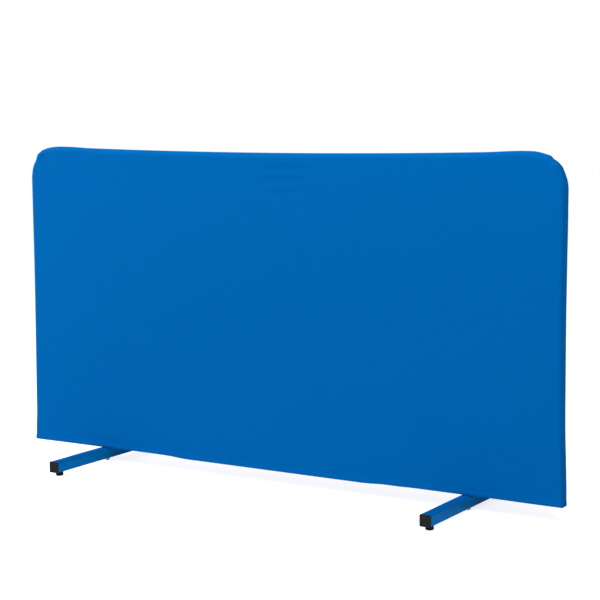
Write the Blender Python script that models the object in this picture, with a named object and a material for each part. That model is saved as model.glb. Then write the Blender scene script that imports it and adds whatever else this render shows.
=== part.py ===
"""Table tennis barrier: a cloth cover over a tubular steel frame on two swivelling legs.

Metres, +Z up. +X runs along the panel and -Y is the side that faces the table. The origin
lies on the floor, under the middle of the panel.
"""
import math

import bmesh
import bpy
from mathutils import Matrix, Vector

MM = 0.001
DEGREE = math.pi / 180
QUARTER = math.pi / 2
TURN = 2 * math.pi
MERGE = 0.001 * MM

# The whole barrier
BARRIER_WIDTH = 1400 * MM
BARRIER_HEIGHT = 760 * MM
GAP = 0.3 * MM
CUT_OVERRUN = 2 * MM

# Cloth and its hem
CLOTH = 0.6 * MM
HEM_HEIGHT = 10 * MM
HEM_CLEARANCE = 1.2 * MM
HEM_FLARE = 1.2 * MM
FLARE_RISE = 4 * MM
BOX_CORNER = 3.2 * MM
BOX_BLEND = 15 * MM
SEAM_ANGLE = 45 * DEGREE
GUSSET_TIP_ANGLE = 58 * DEGREE
GUSSET_TIP_WIDTH = 0.2 * MM

# Closure between the stowed legs
CLOSURE_MARGIN = 9 * MM
CLOSURE_RISE = 28 * MM
FLAP_TAB = 9 * MM
FLAP_BACKSET = 2.5 * MM
TAPE_WIDTH = 14 * MM
TAPE_THICKNESS = 0.7 * MM
TAPE_END_MARGIN = 6 * MM

# Round frame tube
TUBE_DIAMETER = 21.7 * MM
TUBE_WALL = 1.2 * MM
CORNER_RADIUS = 65.3 * MM
TOP_SAG = 8.9 * MM
UPRIGHT_BOW = 1.3 * MM
STUB_LENGTH = 125 * MM
SWAGE_LENGTH = 60 * MM
SWAGE_TAPER = 8 * MM
SPIGOT_LENGTH = 60 * MM

# Square base rail and its end plugs
RAIL_WALL = 1.2 * MM
RAIL_CORNER = 2 * MM
PLUG_FLANGE = 1.2 * MM
PLUG_EDGE = 0.5 * MM
PLUG_DEPTH = 14 * MM
PLUG_SHELL = 1.5 * MM
PLUG_RIB = 0.15 * MM
PLUG_RIB_PITCH = 5 * MM

# Legs
LEG_LENGTH = 400 * MM
LEG_INSET = 216 * MM
LEG_SIDE = 25 * MM
LEG_WALL = 1.2 * MM
LEG_CORNER = 2.5 * MM
LEG_CAP_FLANGE = 2.5 * MM
LEG_CAP_LIP = 0.5 * MM
LEG_CAP_EDGE = 0.9 * MM
LEG_CAP_DEPTH = 16 * MM

# Feet
FOOT_HEIGHT = 10 * MM
FOOT_DIAMETER = 18 * MM
FOOT_DRAFT = 0.4 * MM
FOOT_ROUNDING = 2.5 * MM
FOOT_INSET = 21 * MM
FOOT_SHOULDER = 3 * MM
FOOT_SEAT = 4 * MM

# Swivel under each end of the rail
PIVOT_DIAMETER = 6 * MM
PIVOT_RUNNING_GAP = 0.25 * MM
PIVOT_HEAD_FLATS = 10 * MM
PIVOT_HEAD_HEIGHT = 4 * MM
PIVOT_HEAD_CHAMFER = 0.6 * MM
PIVOT_OVERHANG = 1 * MM
LOCK_NUT_FLATS = 10 * MM
LOCK_NUT_HEIGHT = 5 * MM
LOCK_NUT_COLLAR = 1.4 * MM
LOCK_NUT_COLLAR_INSET = 0.7 * MM
WASHER_DIAMETER = 12 * MM
WASHER_THICKNESS = 1.2 * MM
FRICTION_WASHER_DIAMETER = 18 * MM
FRICTION_WASHER_THICKNESS = 1.2 * MM
BUSH_WALL = 1.5 * MM

# Tapping screws of the frame joints and of the feet
SCREW_DIAMETER = 4.2 * MM
SCREW_LENGTH = 9.5 * MM
SCREW_HEAD_DIAMETER = 8 * MM
SCREW_HEAD_HEIGHT = 2.4 * MM
SCREW_HEAD_ROUNDING = 1.2 * MM
SCREW_SLOT_WIDTH = 1.2 * MM
SCREW_SLOT_DEPTH = 0.9 * MM
SCREW_SLOT_MARGIN = 1 * MM
FOOT_SCREW_LENGTH = 13 * MM

# Counts
TUBE_SIDES = 16
ROUND_SIDES = 18
FOOT_SIDES = 24
SCREW_SIDES = 12
CORNER_STEPS = 9
UPRIGHT_STEPS = 6
RAIL_STEPS = 6
STUB_STEPS = 2
SWAGE_STEPS = 2
EDGE_STEPS = 5
GUSSET_STEPS = 3
SQUARE_CORNER_STEPS = 3
FOOT_ROUNDING_STEPS = 3
HEM_STEPS = 4

# Places worked out from the sizes above
TUBE_RADIUS = TUBE_DIAMETER / 2
EDGE_RADIUS = TUBE_RADIUS + GAP + CLOTH
UPRIGHT_X = BARRIER_WIDTH / 2 - HEM_FLARE - EDGE_RADIUS
CORNER_X = UPRIGHT_X - CORNER_RADIUS
CORNER_Z = BARRIER_HEIGHT - EDGE_RADIUS - CORNER_RADIUS
RAIL_END_SLOPE = math.atan2(2 * TOP_SAG, CORNER_X)
RAIL_END_X = CORNER_X - CORNER_RADIUS * math.sin(RAIL_END_SLOPE)
RAIL_END_Z = CORNER_Z + CORNER_RADIUS * math.cos(RAIL_END_SLOPE)
JOINT_X = RAIL_END_X - STUB_LENGTH
INNER_TUBE_RADIUS = TUBE_RADIUS - TUBE_WALL - GAP

LEG_X = BARRIER_WIDTH / 2 - LEG_INSET
LEG_BOTTOM = FOOT_HEIGHT
LEG_TOP = LEG_BOTTOM + LEG_SIDE
LEG_TUBE_END = LEG_LENGTH / 2 - LEG_CAP_FLANGE - GAP
FOOT_Y = LEG_LENGTH / 2 - FOOT_INSET

RAIL_SIDE = TUBE_DIAMETER - 2 * (CLOTH + GAP)
RAIL_BOTTOM = LEG_TOP + FRICTION_WASHER_THICKNESS + 2 * GAP
RAIL_TOP = RAIL_BOTTOM + RAIL_SIDE
RAIL_MIDDLE = RAIL_BOTTOM + RAIL_SIDE / 2
PLUG_FACE_X = UPRIGHT_X + EDGE_RADIUS - CLOTH - GAP
RAIL_TUBE_END = PLUG_FACE_X - PLUG_FLANGE - GAP
UPRIGHT_FOOT = RAIL_TOP + GAP

HEM_BOTTOM = LEG_TOP + HEM_CLEARANCE
HEM_TOP = HEM_BOTTOM + HEM_HEIGHT
BACK_FLAP_BOTTOM = RAIL_BOTTOM - GAP - CLOTH
LOOP_TAPE_BOTTOM = BACK_FLAP_BOTTOM - GAP - TAPE_THICKNESS
HOOK_TAPE_BOTTOM = LOOP_TAPE_BOTTOM - GAP - TAPE_THICKNESS
CLOSURE_BOTTOM = HOOK_TAPE_BOTTOM - GAP - CLOTH
CLOSURE_X = LEG_X - LEG_LENGTH / 2 - CLOSURE_MARGIN

PIVOT_RADIUS = PIVOT_DIAMETER / 2
PIVOT_HEAD_BOTTOM = RAIL_TOP + WASHER_THICKNESS + 2 * GAP
NUT_WASHER_TOP = LEG_BOTTOM - GAP
LOCK_NUT_TOP = NUT_WASHER_TOP - WASHER_THICKNESS - GAP
LOCK_NUT_BOTTOM = LOCK_NUT_TOP - LOCK_NUT_HEIGHT
PIVOT_END = LOCK_NUT_BOTTOM - PIVOT_OVERHANG
SCREW_HOLE_RADIUS = SCREW_DIAMETER / 2 + GAP
UPRIGHT_SCREW_Z = UPRIGHT_FOOT + SPIGOT_LENGTH / 2
TOP_SCREW_X = JOINT_X + SWAGE_LENGTH / 2


def srgb(red, green, blue):
    """Turn 8-bit screen values into the linear values that a shader takes."""
    shares = [value / 255 for value in (red, green, blue)]
    return tuple(v / 12.92 if v <= 0.04045 else ((v + 0.055) / 1.055) ** 2.4 for v in shares)


# Colour, roughness and metallic value of each finish
FINISHES = {
    "blue_cloth": (srgb(0, 103, 179), 0.78, 0.0),
    "blue_paint": (srgb(0, 92, 165), 0.38, 0.0),
    "black_plastic": (srgb(44, 46, 45), 0.52, 0.0),
    "black_rubber": (srgb(22, 22, 23), 0.72, 0.0),
    "zinc_steel": (srgb(186, 188, 190), 0.34, 1.0),
    "white_nylon": (srgb(226, 226, 220), 0.5, 0.0),
    "black_tape": (srgb(30, 32, 38), 0.9, 0.0),
}


def clear_scene():
    for old in list(bpy.data.objects):
        bpy.data.objects.remove(old, do_unlink=True)


def material_for(name, finish):
    colour, roughness, metallic = FINISHES[finish]
    material = bpy.data.materials.new(name + "_" + finish)
    material.use_nodes = True
    shader = material.node_tree.nodes["Principled BSDF"]
    shader.inputs["Base Color"].default_value = (*colour, 1.0)
    shader.inputs["Roughness"].default_value = roughness
    shader.inputs["Metallic"].default_value = metallic
    return material


def add_object(name, bm, finish, parent=None):
    """Make a named object from a finished bmesh, smooth but for its sharp edges."""
    mesh = bpy.data.meshes.new(name)
    bm.to_mesh(mesh)
    bm.free()
    mesh.shade_smooth()
    mesh.set_sharp_from_angle(angle=35 * DEGREE)
    mesh.materials.append(material_for(name, finish))
    thing = bpy.data.objects.new(name, mesh)
    bpy.context.collection.objects.link(thing)
    thing.parent = parent
    return thing


def loft(loops, ring=False):
    """Bridge loops of equal count in their order; a ring also joins the last to the first."""
    bm = bmesh.new()
    rows = [[bm.verts.new(point) for point in loop] for loop in loops]
    if ring:
        rows.append(rows[0])
    count = len(rows[0])
    for near, far in zip(rows, rows[1:]):
        for index in range(count):
            after = (index + 1) % count
            bm.faces.new((near[index], near[after], far[after], far[index]))
    if not ring:
        bm.faces.new(rows[0])
        bm.faces.new(rows[-1])
    bmesh.ops.recalc_face_normals(bm, faces=bm.faces)
    return bm


def turned(profile, sides=ROUND_SIDES):
    """Spin a closed (radius, height) outline about Z; points on the axis become poles."""
    bm = bmesh.new()
    points = [bm.verts.new((radius, 0, height)) for radius, height in profile]
    edges = [bm.edges.new((a, b)) for a, b in zip(points, points[1:] + points[:1])]
    bmesh.ops.spin(bm, geom=points + edges, cent=(0, 0, 0), axis=(0, 0, 1),
                   angle=TURN, steps=sides, use_merge=True)
    bmesh.ops.remove_doubles(bm, verts=bm.verts, dist=MERGE)
    loose = [edge for edge in bm.edges if not edge.link_faces]
    bmesh.ops.delete(bm, geom=loose, context="EDGES")
    bmesh.ops.recalc_face_normals(bm, faces=bm.faces)
    return bm


def round_loop(radius, height, sides=ROUND_SIDES):
    angles = [TURN * index / sides for index in range(sides)]
    return [(radius * math.cos(a), radius * math.sin(a), height) for a in angles]


def hex_loop(flats, height, corner_inset=0, sides=ROUND_SIDES):
    """A hexagon with its corners turned off by corner_inset, in as many points as a circle."""
    limit = flats / 2 / math.cos(math.pi / 6) - corner_inset
    loop = []
    for index in range(sides):
        angle = TURN * index / sides
        from_flat = (angle % (math.pi / 3)) - math.pi / 6
        radius = min(flats / 2 / math.cos(from_flat), limit)
        loop.append((radius * math.cos(angle), radius * math.sin(angle), height))
    return loop


def square_loop(side, corner, height):
    """A square with rounded corners, about the Z axis at a height."""
    flat = side / 2 - corner
    loop = []
    for quarter, (sx, sy) in enumerate(((1, 1), (-1, 1), (-1, -1), (1, -1))):
        for step in range(SQUARE_CORNER_STEPS + 1):
            angle = QUARTER * (quarter + step / SQUARE_CORNER_STEPS)
            loop.append((sx * flat + corner * math.cos(angle),
                         sy * flat + corner * math.sin(angle), height))
    return loop


def hidden_tool(name, bm, parent=None):
    """An object that only cuts or adds to another, so the build leaves it out."""
    mesh = bpy.data.meshes.new(name)
    bm.to_mesh(mesh)
    bm.free()
    tool = bpy.data.objects.new(name, mesh)
    bpy.context.collection.objects.link(tool)
    tool.parent = parent
    tool.hide_render = True
    tool.display_type = "WIRE"
    return tool


def cylinder_cutter(name, radius, start, end, parent=None):
    start, end = Vector(start), Vector(end)
    length = (end - start).length
    bm = loft([round_loop(radius, 0, SCREW_SIDES), round_loop(radius, length, SCREW_SIDES)])
    turn = Vector((0, 0, 1)).rotation_difference(end - start).to_matrix().to_4x4()
    bm.transform(Matrix.Translation(start) @ turn)
    return hidden_tool(name, bm, parent)


def combine(target, tool, operation):
    modifier = target.modifiers.new(tool.name, "BOOLEAN")
    modifier.operation = operation
    modifier.object = tool
    modifier.solver = "EXACT"


def cut(target, tool):
    combine(target, tool, "DIFFERENCE")


def side_name(side):
    return "left" if side < 0 else "right"


# The line that the round tube follows, on the right half of the frame

def upright_x(z):
    """The upright leans in a little between its foot and the corner, drawn by the cloth."""
    share = (z - UPRIGHT_FOOT) / (CORNER_Z - UPRIGHT_FOOT)
    share = min(max(share, 0), 1)
    return UPRIGHT_X - UPRIGHT_BOW * math.sin(math.pi * share) ** 2


def rail_z(x):
    """The top rail hangs in a shallow parabola between the two corners."""
    return RAIL_END_Z - TOP_SAG * (1 - (x / RAIL_END_X) ** 2)


def upright_points(low, steps=UPRIGHT_STEPS):
    heights = [low + (CORNER_Z - low) * index / steps for index in range(steps)]
    return [(upright_x(z), z) for z in heights]


def corner_points():
    sweep = QUARTER + RAIL_END_SLOPE
    angles = [sweep * index / CORNER_STEPS for index in range(CORNER_STEPS + 1)]
    return [(CORNER_X + CORNER_RADIUS * math.cos(a), CORNER_Z + CORNER_RADIUS * math.sin(a))
            for a in angles]


def rail_points(start, end, steps):
    """Points along the top rail, without the first, which the caller already has."""
    places = [start + (end - start) * index / steps for index in range(1, steps + 1)]
    return [(x, rail_z(x)) for x in places]


def normals_along(points):
    """The unit normal, left of the way that the points run, at each point."""
    normals = []
    for index in range(len(points)):
        x0, z0 = points[max(index - 1, 0)]
        x1, z1 = points[min(index + 1, len(points) - 1)]
        length = math.hypot(x1 - x0, z1 - z0)
        normals.append((-(z1 - z0) / length, (x1 - x0) / length))
    return normals


def tube_ring(point, normal, radius):
    """A circle square to the line at a point, in the plane of its normal and Y."""
    x, z = point
    nx, nz = normal
    ring = []
    for index in range(TUBE_SIDES):
        angle = TURN * index / TUBE_SIDES
        out = radius * math.cos(angle)
        ring.append((x + nx * out, radius * math.sin(angle), z + nz * out))
    return ring


def swept_tube(points, radii):
    """A tube of constant wall along points of the XZ plane, its radius given at each."""
    normals = normals_along(points)
    outer = [tube_ring(p, n, r) for p, n, r in zip(points, normals, radii)]
    inner = [tube_ring(p, n, r - TUBE_WALL) for p, n, r in zip(points, normals, radii)]
    return loft(outer + inner[::-1], ring=True)


def mirrored(points, side):
    return [(side * x, z) for x, z in points]


# Frame

def make_side_bow(side):
    """Upright, corner bend and stub in one bent tube, with a hole for each joint's screw."""
    line = upright_points(UPRIGHT_FOOT) + corner_points()
    line += rail_points(RAIL_END_X, JOINT_X, STUB_STEPS)
    bm = swept_tube(mirrored(line, side), [TUBE_RADIUS] * len(line))
    bow = add_object(side_name(side) + "_side_bow", bm, "blue_paint")
    cut(bow, joint_cutter(side, "upright"))
    cut(bow, joint_cutter(side, "top"))


def joint_cutter(side, joint):
    """The hole that a joint's screw goes through, in the outer and the inner tube alike."""
    name = "hole_" + side_name(side) + "_" + joint
    existing = bpy.data.objects.get(name)
    if existing:
        return existing
    reach = TUBE_RADIUS + CUT_OVERRUN
    if joint == "upright":
        x = side * upright_x(UPRIGHT_SCREW_Z)
        start = (x - side * reach, 0, UPRIGHT_SCREW_Z)
        end = (x, 0, UPRIGHT_SCREW_Z)
    else:
        z = rail_z(TOP_SCREW_X)
        start = (side * TOP_SCREW_X, 0, z - reach)
        end = (side * TOP_SCREW_X, 0, z)
    return cylinder_cutter(name, SCREW_HOLE_RADIUS, start, end)


def make_top_rail():
    """The sagging top tube, swaged down at both ends to slide into the side bows."""
    shoulder = JOINT_X - GAP
    half = [(0, rail_z(0))]
    half += rail_points(0, shoulder - SWAGE_TAPER, RAIL_STEPS)
    radii = [TUBE_RADIUS] * len(half)
    half += rail_points(shoulder - SWAGE_TAPER, shoulder, 1)
    half += rail_points(shoulder, JOINT_X + SWAGE_LENGTH, SWAGE_STEPS)
    radii += [INNER_TUBE_RADIUS] * (len(half) - len(radii))
    line = mirrored(half[:0:-1], -1) + half
    rail = add_object("top_rail", swept_tube(line, radii[:0:-1] + radii), "blue_paint")
    cut(rail, joint_cutter(-1, "top"))
    cut(rail, joint_cutter(1, "top"))


def make_base_rail():
    """The square bottom tube with a round spigot welded on near each end."""
    outer = [square_loop(RAIL_SIDE, RAIL_CORNER, x) for x in (-RAIL_TUBE_END, RAIL_TUBE_END)]
    bore = RAIL_SIDE - 2 * RAIL_WALL
    inner = [square_loop(bore, RAIL_CORNER - RAIL_WALL, x)
             for x in (RAIL_TUBE_END, -RAIL_TUBE_END)]
    bm = loft(outer + inner, ring=True)
    lay_along_x = Matrix.Rotation(QUARTER, 4, "Y")
    bm.transform(Matrix.Translation((0, 0, RAIL_MIDDLE)) @ lay_along_x)
    rail = add_object("base_rail", bm, "blue_paint")
    for side in (-1, 1):
        weld_spigot(rail, side)
        for wall, middle in (("lower", RAIL_BOTTOM), ("upper", RAIL_TOP)):
            name = "hole_" + side_name(side) + "_rail_" + wall
            start = (side * LEG_X, 0, middle - RAIL_WALL - CUT_OVERRUN)
            end = (side * LEG_X, 0, middle + RAIL_WALL + CUT_OVERRUN)
            cut(rail, cylinder_cutter(name, PIVOT_RADIUS + GAP, start, end))
        cut(rail, joint_cutter(side, "upright"))


def weld_spigot(rail, side):
    """Join a short tube to the rail's top wall, sunk half a wall deep as a weld would be."""
    seat = RAIL_TOP - RAIL_WALL / 2
    top = UPRIGHT_FOOT + SPIGOT_LENGTH
    bore = INNER_TUBE_RADIUS - TUBE_WALL
    outer = [round_loop(INNER_TUBE_RADIUS, z, TUBE_SIDES) for z in (seat, top)]
    inner = [round_loop(bore, z, TUBE_SIDES) for z in (top, seat)]
    bm = loft(outer + inner, ring=True)
    bm.transform(Matrix.Translation((side * UPRIGHT_X, 0, 0)))
    combine(rail, hidden_tool("spigot_" + side_name(side), bm), "UNION")


def plug_mesh(side, corner, wall, flange, lip, edge, depth):
    """A hollow ribbed plug; its flange closes the tube and faces +Z, its body runs down.

    The flange stands out from the tube by the lip all round.
    """
    rim = side + 2 * lip
    rim_corner = corner + lip
    body = side - 2 * wall - 2 * GAP
    body_corner = max(corner - wall - GAP, GAP)
    cavity = body - 2 * PLUG_SHELL
    loops = [
        square_loop(rim - 2 * edge, max(rim_corner - edge, GAP), flange),
        square_loop(rim, rim_corner, flange - edge),
        square_loop(rim, rim_corner, 0),
        square_loop(body, body_corner, 0),
    ]
    rib_top = -PLUG_RIB_PITCH
    while rib_top > -depth + PLUG_RIB_PITCH / 2:
        loops.append(square_loop(body, body_corner, rib_top))
        loops.append(square_loop(body + 2 * PLUG_RIB, body_corner, rib_top))
        loops.append(square_loop(body, body_corner, rib_top - PLUG_RIB_PITCH / 2))
        rib_top -= PLUG_RIB_PITCH
    loops.append(square_loop(body, body_corner, -depth))
    loops.append(square_loop(cavity, body_corner, -depth))
    loops.append(square_loop(cavity, body_corner, 0))
    return loft(loops)


def make_rail_plug(side):
    bm = plug_mesh(RAIL_SIDE, RAIL_CORNER, RAIL_WALL, PLUG_FLANGE, 0, PLUG_EDGE, PLUG_DEPTH)
    plug = add_object(side_name(side) + "_rail_plug", bm, "black_plastic")
    plug.location = (side * (PLUG_FACE_X - PLUG_FLANGE), 0, RAIL_MIDDLE)
    plug.rotation_euler = (0, side * QUARTER, 0)


def screw_mesh(length):
    """A pan head screw with its seat at the origin, its shank up +Z and a slot below."""
    radius = SCREW_DIAMETER / 2
    head = SCREW_HEAD_DIAMETER / 2
    profile = [
        (0, length),
        (radius / 2, length),
        (radius, length - radius),
        (radius, 0),
        (head, 0),
        (head, -(SCREW_HEAD_HEIGHT - SCREW_HEAD_ROUNDING)),
        (head - SCREW_HEAD_ROUNDING, -SCREW_HEAD_HEIGHT),
        (0, -SCREW_HEAD_HEIGHT),
    ]
    return turned(profile, SCREW_SIDES)


def slot_screw(screw, parent=None):
    """Cut a cross slot in the head."""
    reach = SCREW_HEAD_DIAMETER / 2 - SCREW_SLOT_MARGIN
    for index, (wide, long) in enumerate(((SCREW_SLOT_WIDTH / 2, reach),
                                          (reach, SCREW_SLOT_WIDTH / 2))):
        bm = bmesh.new()
        bmesh.ops.create_cube(bm, size=2)
        depth = SCREW_SLOT_DEPTH + CUT_OVERRUN
        scale = Matrix.Diagonal((wide, long, depth / 2, 1))
        bottom = -SCREW_HEAD_HEIGHT - CUT_OVERRUN
        bm.transform(Matrix.Translation((0, 0, bottom + depth / 2)) @ scale)
        cutter = hidden_tool("slot_" + screw.name + "_" + str(index), bm, parent)
        cutter.matrix_local = screw.matrix_local
        cut(screw, cutter)


def make_frame_screws(side):
    """One screw holds the bow on its spigot, one holds the top rail in the bow."""
    sides = side_name(side)
    lower = add_object(sides + "_upright_screw", screw_mesh(SCREW_LENGTH), "zinc_steel")
    face = upright_x(UPRIGHT_SCREW_Z) - TUBE_RADIUS - GAP
    lower.matrix_local = (Matrix.Translation((side * face, 0, UPRIGHT_SCREW_Z))
                          @ Matrix.Rotation(side * QUARTER, 4, "Y"))
    slot_screw(lower)
    upper = add_object(sides + "_top_screw", screw_mesh(SCREW_LENGTH), "zinc_steel")
    under = rail_z(TOP_SCREW_X) - TUBE_RADIUS - GAP
    upper.matrix_local = Matrix.Translation((side * TOP_SCREW_X, 0, under))
    slot_screw(upper)


# Swivels

def washer_mesh(diameter, hole, thickness):
    outer, inner = diameter / 2, hole / 2
    return turned([(inner, 0), (outer, 0), (outer, thickness), (inner, thickness)])


def make_pivot(side):
    """Bolt from above the rail, down through the leg, with a lock nut under the leg."""
    sides = side_name(side)
    radius = PIVOT_RADIUS
    head_top = PIVOT_HEAD_BOTTOM + PIVOT_HEAD_HEIGHT
    bolt = loft([
        hex_loop(PIVOT_HEAD_FLATS, head_top, 2 * PIVOT_HEAD_CHAMFER),
        hex_loop(PIVOT_HEAD_FLATS, head_top - PIVOT_HEAD_CHAMFER),
        hex_loop(PIVOT_HEAD_FLATS, PIVOT_HEAD_BOTTOM),
        round_loop(radius, PIVOT_HEAD_BOTTOM),
        round_loop(radius, PIVOT_END + PIVOT_OVERHANG / 2),
        round_loop(radius - PIVOT_OVERHANG / 2, PIVOT_END),
    ])
    hole = radius + GAP
    collar_top = LOCK_NUT_BOTTOM + LOCK_NUT_COLLAR
    collar = LOCK_NUT_FLATS / 2 - LOCK_NUT_COLLAR_INSET
    nut = loft([
        hex_loop(LOCK_NUT_FLATS, LOCK_NUT_TOP, 2 * PIVOT_HEAD_CHAMFER),
        hex_loop(LOCK_NUT_FLATS, LOCK_NUT_TOP - PIVOT_HEAD_CHAMFER),
        hex_loop(LOCK_NUT_FLATS, collar_top),
        round_loop(collar, collar_top),
        round_loop(collar, LOCK_NUT_BOTTOM),
        round_loop(hole, LOCK_NUT_BOTTOM),
        round_loop(hole, LOCK_NUT_TOP),
    ], ring=True)
    washer_hole = 2 * hole
    head_washer = washer_mesh(WASHER_DIAMETER, washer_hole, WASHER_THICKNESS)
    nut_washer = washer_mesh(WASHER_DIAMETER, washer_hole, WASHER_THICKNESS)
    friction_washer = washer_mesh(FRICTION_WASHER_DIAMETER, washer_hole,
                                  FRICTION_WASHER_THICKNESS)
    for name, bm, finish, z in (
            ("_pivot_bolt", bolt, "zinc_steel", 0),
            ("_lock_nut", nut, "zinc_steel", 0),
            ("_head_washer", head_washer, "zinc_steel", RAIL_TOP + GAP),
            ("_friction_washer", friction_washer, "white_nylon", LEG_TOP + GAP),
            ("_nut_washer", nut_washer, "zinc_steel", NUT_WASHER_TOP - WASHER_THICKNESS)):
        piece = add_object(sides + name, bm, finish)
        piece.location = (side * LEG_X, 0, z)


# Legs, each on an empty that stands on its swivel axis

def make_leg(side):
    sides = side_name(side)
    axis = bpy.data.objects.new(sides + "_leg_axis", None)
    bpy.context.collection.objects.link(axis)
    axis.location = (side * LEG_X, 0, 0)
    make_leg_tube(sides, axis)
    make_leg_bush(sides, axis)
    for end, which in ((-1, "front"), (1, "rear")):
        make_leg_cap(sides, which, end, axis)
        make_foot(sides, which, end, axis)


def make_leg_tube(sides, axis):
    """A square tube across the panel, bored for the bolt and for the screws of the feet."""
    middle = LEG_BOTTOM + LEG_SIDE / 2
    bore = LEG_SIDE - 2 * LEG_WALL
    outer = [square_loop(LEG_SIDE, LEG_CORNER, y) for y in (-LEG_TUBE_END, LEG_TUBE_END)]
    inner = [square_loop(bore, LEG_CORNER - LEG_WALL, y) for y in (LEG_TUBE_END, -LEG_TUBE_END)]
    bm = loft(outer + inner, ring=True)
    bm.transform(Matrix.Translation((0, 0, middle)) @ Matrix.Rotation(-QUARTER, 4, "X"))
    tube = add_object(sides + "_leg_tube", bm, "blue_paint", axis)
    reach = LEG_WALL + CUT_OVERRUN
    holes = [("pivot_lower", 0, LEG_BOTTOM, PIVOT_RADIUS + PIVOT_RUNNING_GAP),
             ("pivot_upper", 0, LEG_TOP, PIVOT_RADIUS + PIVOT_RUNNING_GAP),
             ("front_foot", -FOOT_Y, LEG_BOTTOM, SCREW_HOLE_RADIUS),
             ("rear_foot", FOOT_Y, LEG_BOTTOM, SCREW_HOLE_RADIUS)]
    for name, y, z, radius in holes:
        cutter = cylinder_cutter("hole_" + sides + "_" + name, radius,
                                 (0, y, z - reach), (0, y, z + reach), axis)
        cut(tube, cutter)


def make_leg_bush(sides, axis):
    """A spacer round the bolt that keeps the tube's walls apart when the nut is tight."""
    hole = PIVOT_RADIUS + PIVOT_RUNNING_GAP
    outer = hole + BUSH_WALL
    low = LEG_BOTTOM + LEG_WALL + GAP
    high = LEG_TOP - LEG_WALL - GAP
    bm = turned([(hole, low), (outer, low), (outer, high), (hole, high)])
    add_object(sides + "_leg_bush", bm, "zinc_steel", axis)


def make_leg_cap(sides, which, end, axis):
    bm = plug_mesh(LEG_SIDE, LEG_CORNER, LEG_WALL,
                   LEG_CAP_FLANGE, LEG_CAP_LIP, LEG_CAP_EDGE, LEG_CAP_DEPTH)
    cap = add_object(sides + "_leg_" + which + "_cap", bm, "black_plastic", axis)
    cap.location = (0, end * (LEG_LENGTH / 2 - LEG_CAP_FLANGE), LEG_BOTTOM + LEG_SIDE / 2)
    cap.rotation_euler = (-end * QUARTER, 0, 0)


def make_foot(sides, which, end, axis):
    """A round rubber foot with a rounded tread edge and a sunk screw."""
    radius = FOOT_DIAMETER / 2
    top = LEG_BOTTOM - GAP
    seat = SCREW_HEAD_DIAMETER / 2 + 2 * GAP
    profile = [(SCREW_HOLE_RADIUS, top), (radius - FOOT_DRAFT, top), (radius, top - FOOT_SHOULDER)]
    for step in range(FOOT_ROUNDING_STEPS + 1):
        angle = QUARTER * step / FOOT_ROUNDING_STEPS
        profile.append((radius - FOOT_ROUNDING * (1 - math.cos(angle)),
                        FOOT_ROUNDING * (1 - math.sin(angle))))
    profile += [(seat, 0), (seat, FOOT_SEAT), (SCREW_HOLE_RADIUS, FOOT_SEAT)]
    name = sides + "_" + which + "_foot"
    foot = add_object(name, turned(profile, FOOT_SIDES), "black_rubber", axis)
    foot.location = (0, end * FOOT_Y, 0)
    screw = add_object(name + "_screw", screw_mesh(FOOT_SCREW_LENGTH), "zinc_steel", axis)
    screw.matrix_local = Matrix.Translation((0, end * FOOT_Y, FOOT_SEAT - GAP))
    slot_screw(screw, axis)


# Cover

def cover_stations():
    """Stations of the cover's rim on the right half, from the hem up to the top middle.

    Each is (point, outward normal, edge radius, seam angle): the rim's section is a half
    round of the cover's depth, squared off round the rail's end, and the seam angle says
    how far round from the front the main cloth reaches before the gusset begins.
    """
    flare_top = HEM_TOP + FLARE_RISE
    box_top = RAIL_TOP + 2 * GAP
    stations = []
    for z, flare, corner in ((HEM_BOTTOM, HEM_FLARE, BOX_CORNER), (HEM_TOP, HEM_FLARE, BOX_CORNER),
                             (flare_top, 0, BOX_CORNER), (box_top, 0, BOX_CORNER)):
        stations.append(((upright_x(z) + flare, z), (1, 0), corner, SEAM_ANGLE))
    line = upright_points(box_top + BOX_BLEND) + corner_points()
    line += rail_points(RAIL_END_X, JOINT_X, STUB_STEPS) + rail_points(JOINT_X, 0, RAIL_STEPS)
    for point, (nx, nz) in zip(line, normals_along(line)):
        from_side = math.atan2(-nz, -nx)
        share = min(max(from_side / GUSSET_TIP_ANGLE, 0), 1)
        seam = SEAM_ANGLE + (QUARTER - SEAM_ANGLE) * share
        stations.append((point, (-nx, -nz), EDGE_RADIUS, seam))
    top_point = stations[-1][0]
    stations[-1] = (top_point, (0, 1), EDGE_RADIUS, QUARTER)
    return stations


def rim_point(station, angle, face):
    """A point of the rim at an angle round from the face: -1 is the front, 1 the back."""
    (x, z), (nx, nz), corner, _ = station
    out = EDGE_RADIUS - corner + corner * math.sin(angle)
    y = face * (EDGE_RADIUS - corner + corner * math.cos(angle))
    return (x + nx * out, y, z + nz * out)


def mirror_station(station):
    (x, z), (nx, nz), corner, seam = station
    return ((-x, z), (-nx, nz), corner, seam)


def hem_line():
    """Points of the front lower edge from left to right; its middle covers the closure."""
    rise = []
    for step in range(HEM_STEPS + 1):
        share = step / HEM_STEPS
        drop = (HEM_BOTTOM - CLOSURE_BOTTOM) * (1 - math.cos(math.pi * share)) / 2
        rise.append((CLOSURE_X - CLOSURE_RISE * share, HEM_BOTTOM - drop))
    return mirrored(rise, -1) + rise[::-1]


def shell_from_sheet(bm, outward_face):
    """Point a sheet's faces outwards, judging by the one named face."""
    bmesh.ops.remove_doubles(bm, verts=bm.verts, dist=MERGE)
    bmesh.ops.recalc_face_normals(bm, faces=bm.faces)
    bm.normal_update()
    face, direction = outward_face(bm)
    if face.normal.dot(direction) < 0:
        bmesh.ops.reverse_faces(bm, faces=bm.faces)


def thicken(sheet):
    modifier = sheet.modifiers.new("cloth", "SOLIDIFY")
    modifier.thickness = CLOTH
    modifier.offset = -1
    modifier.use_even_offset = True


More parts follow.
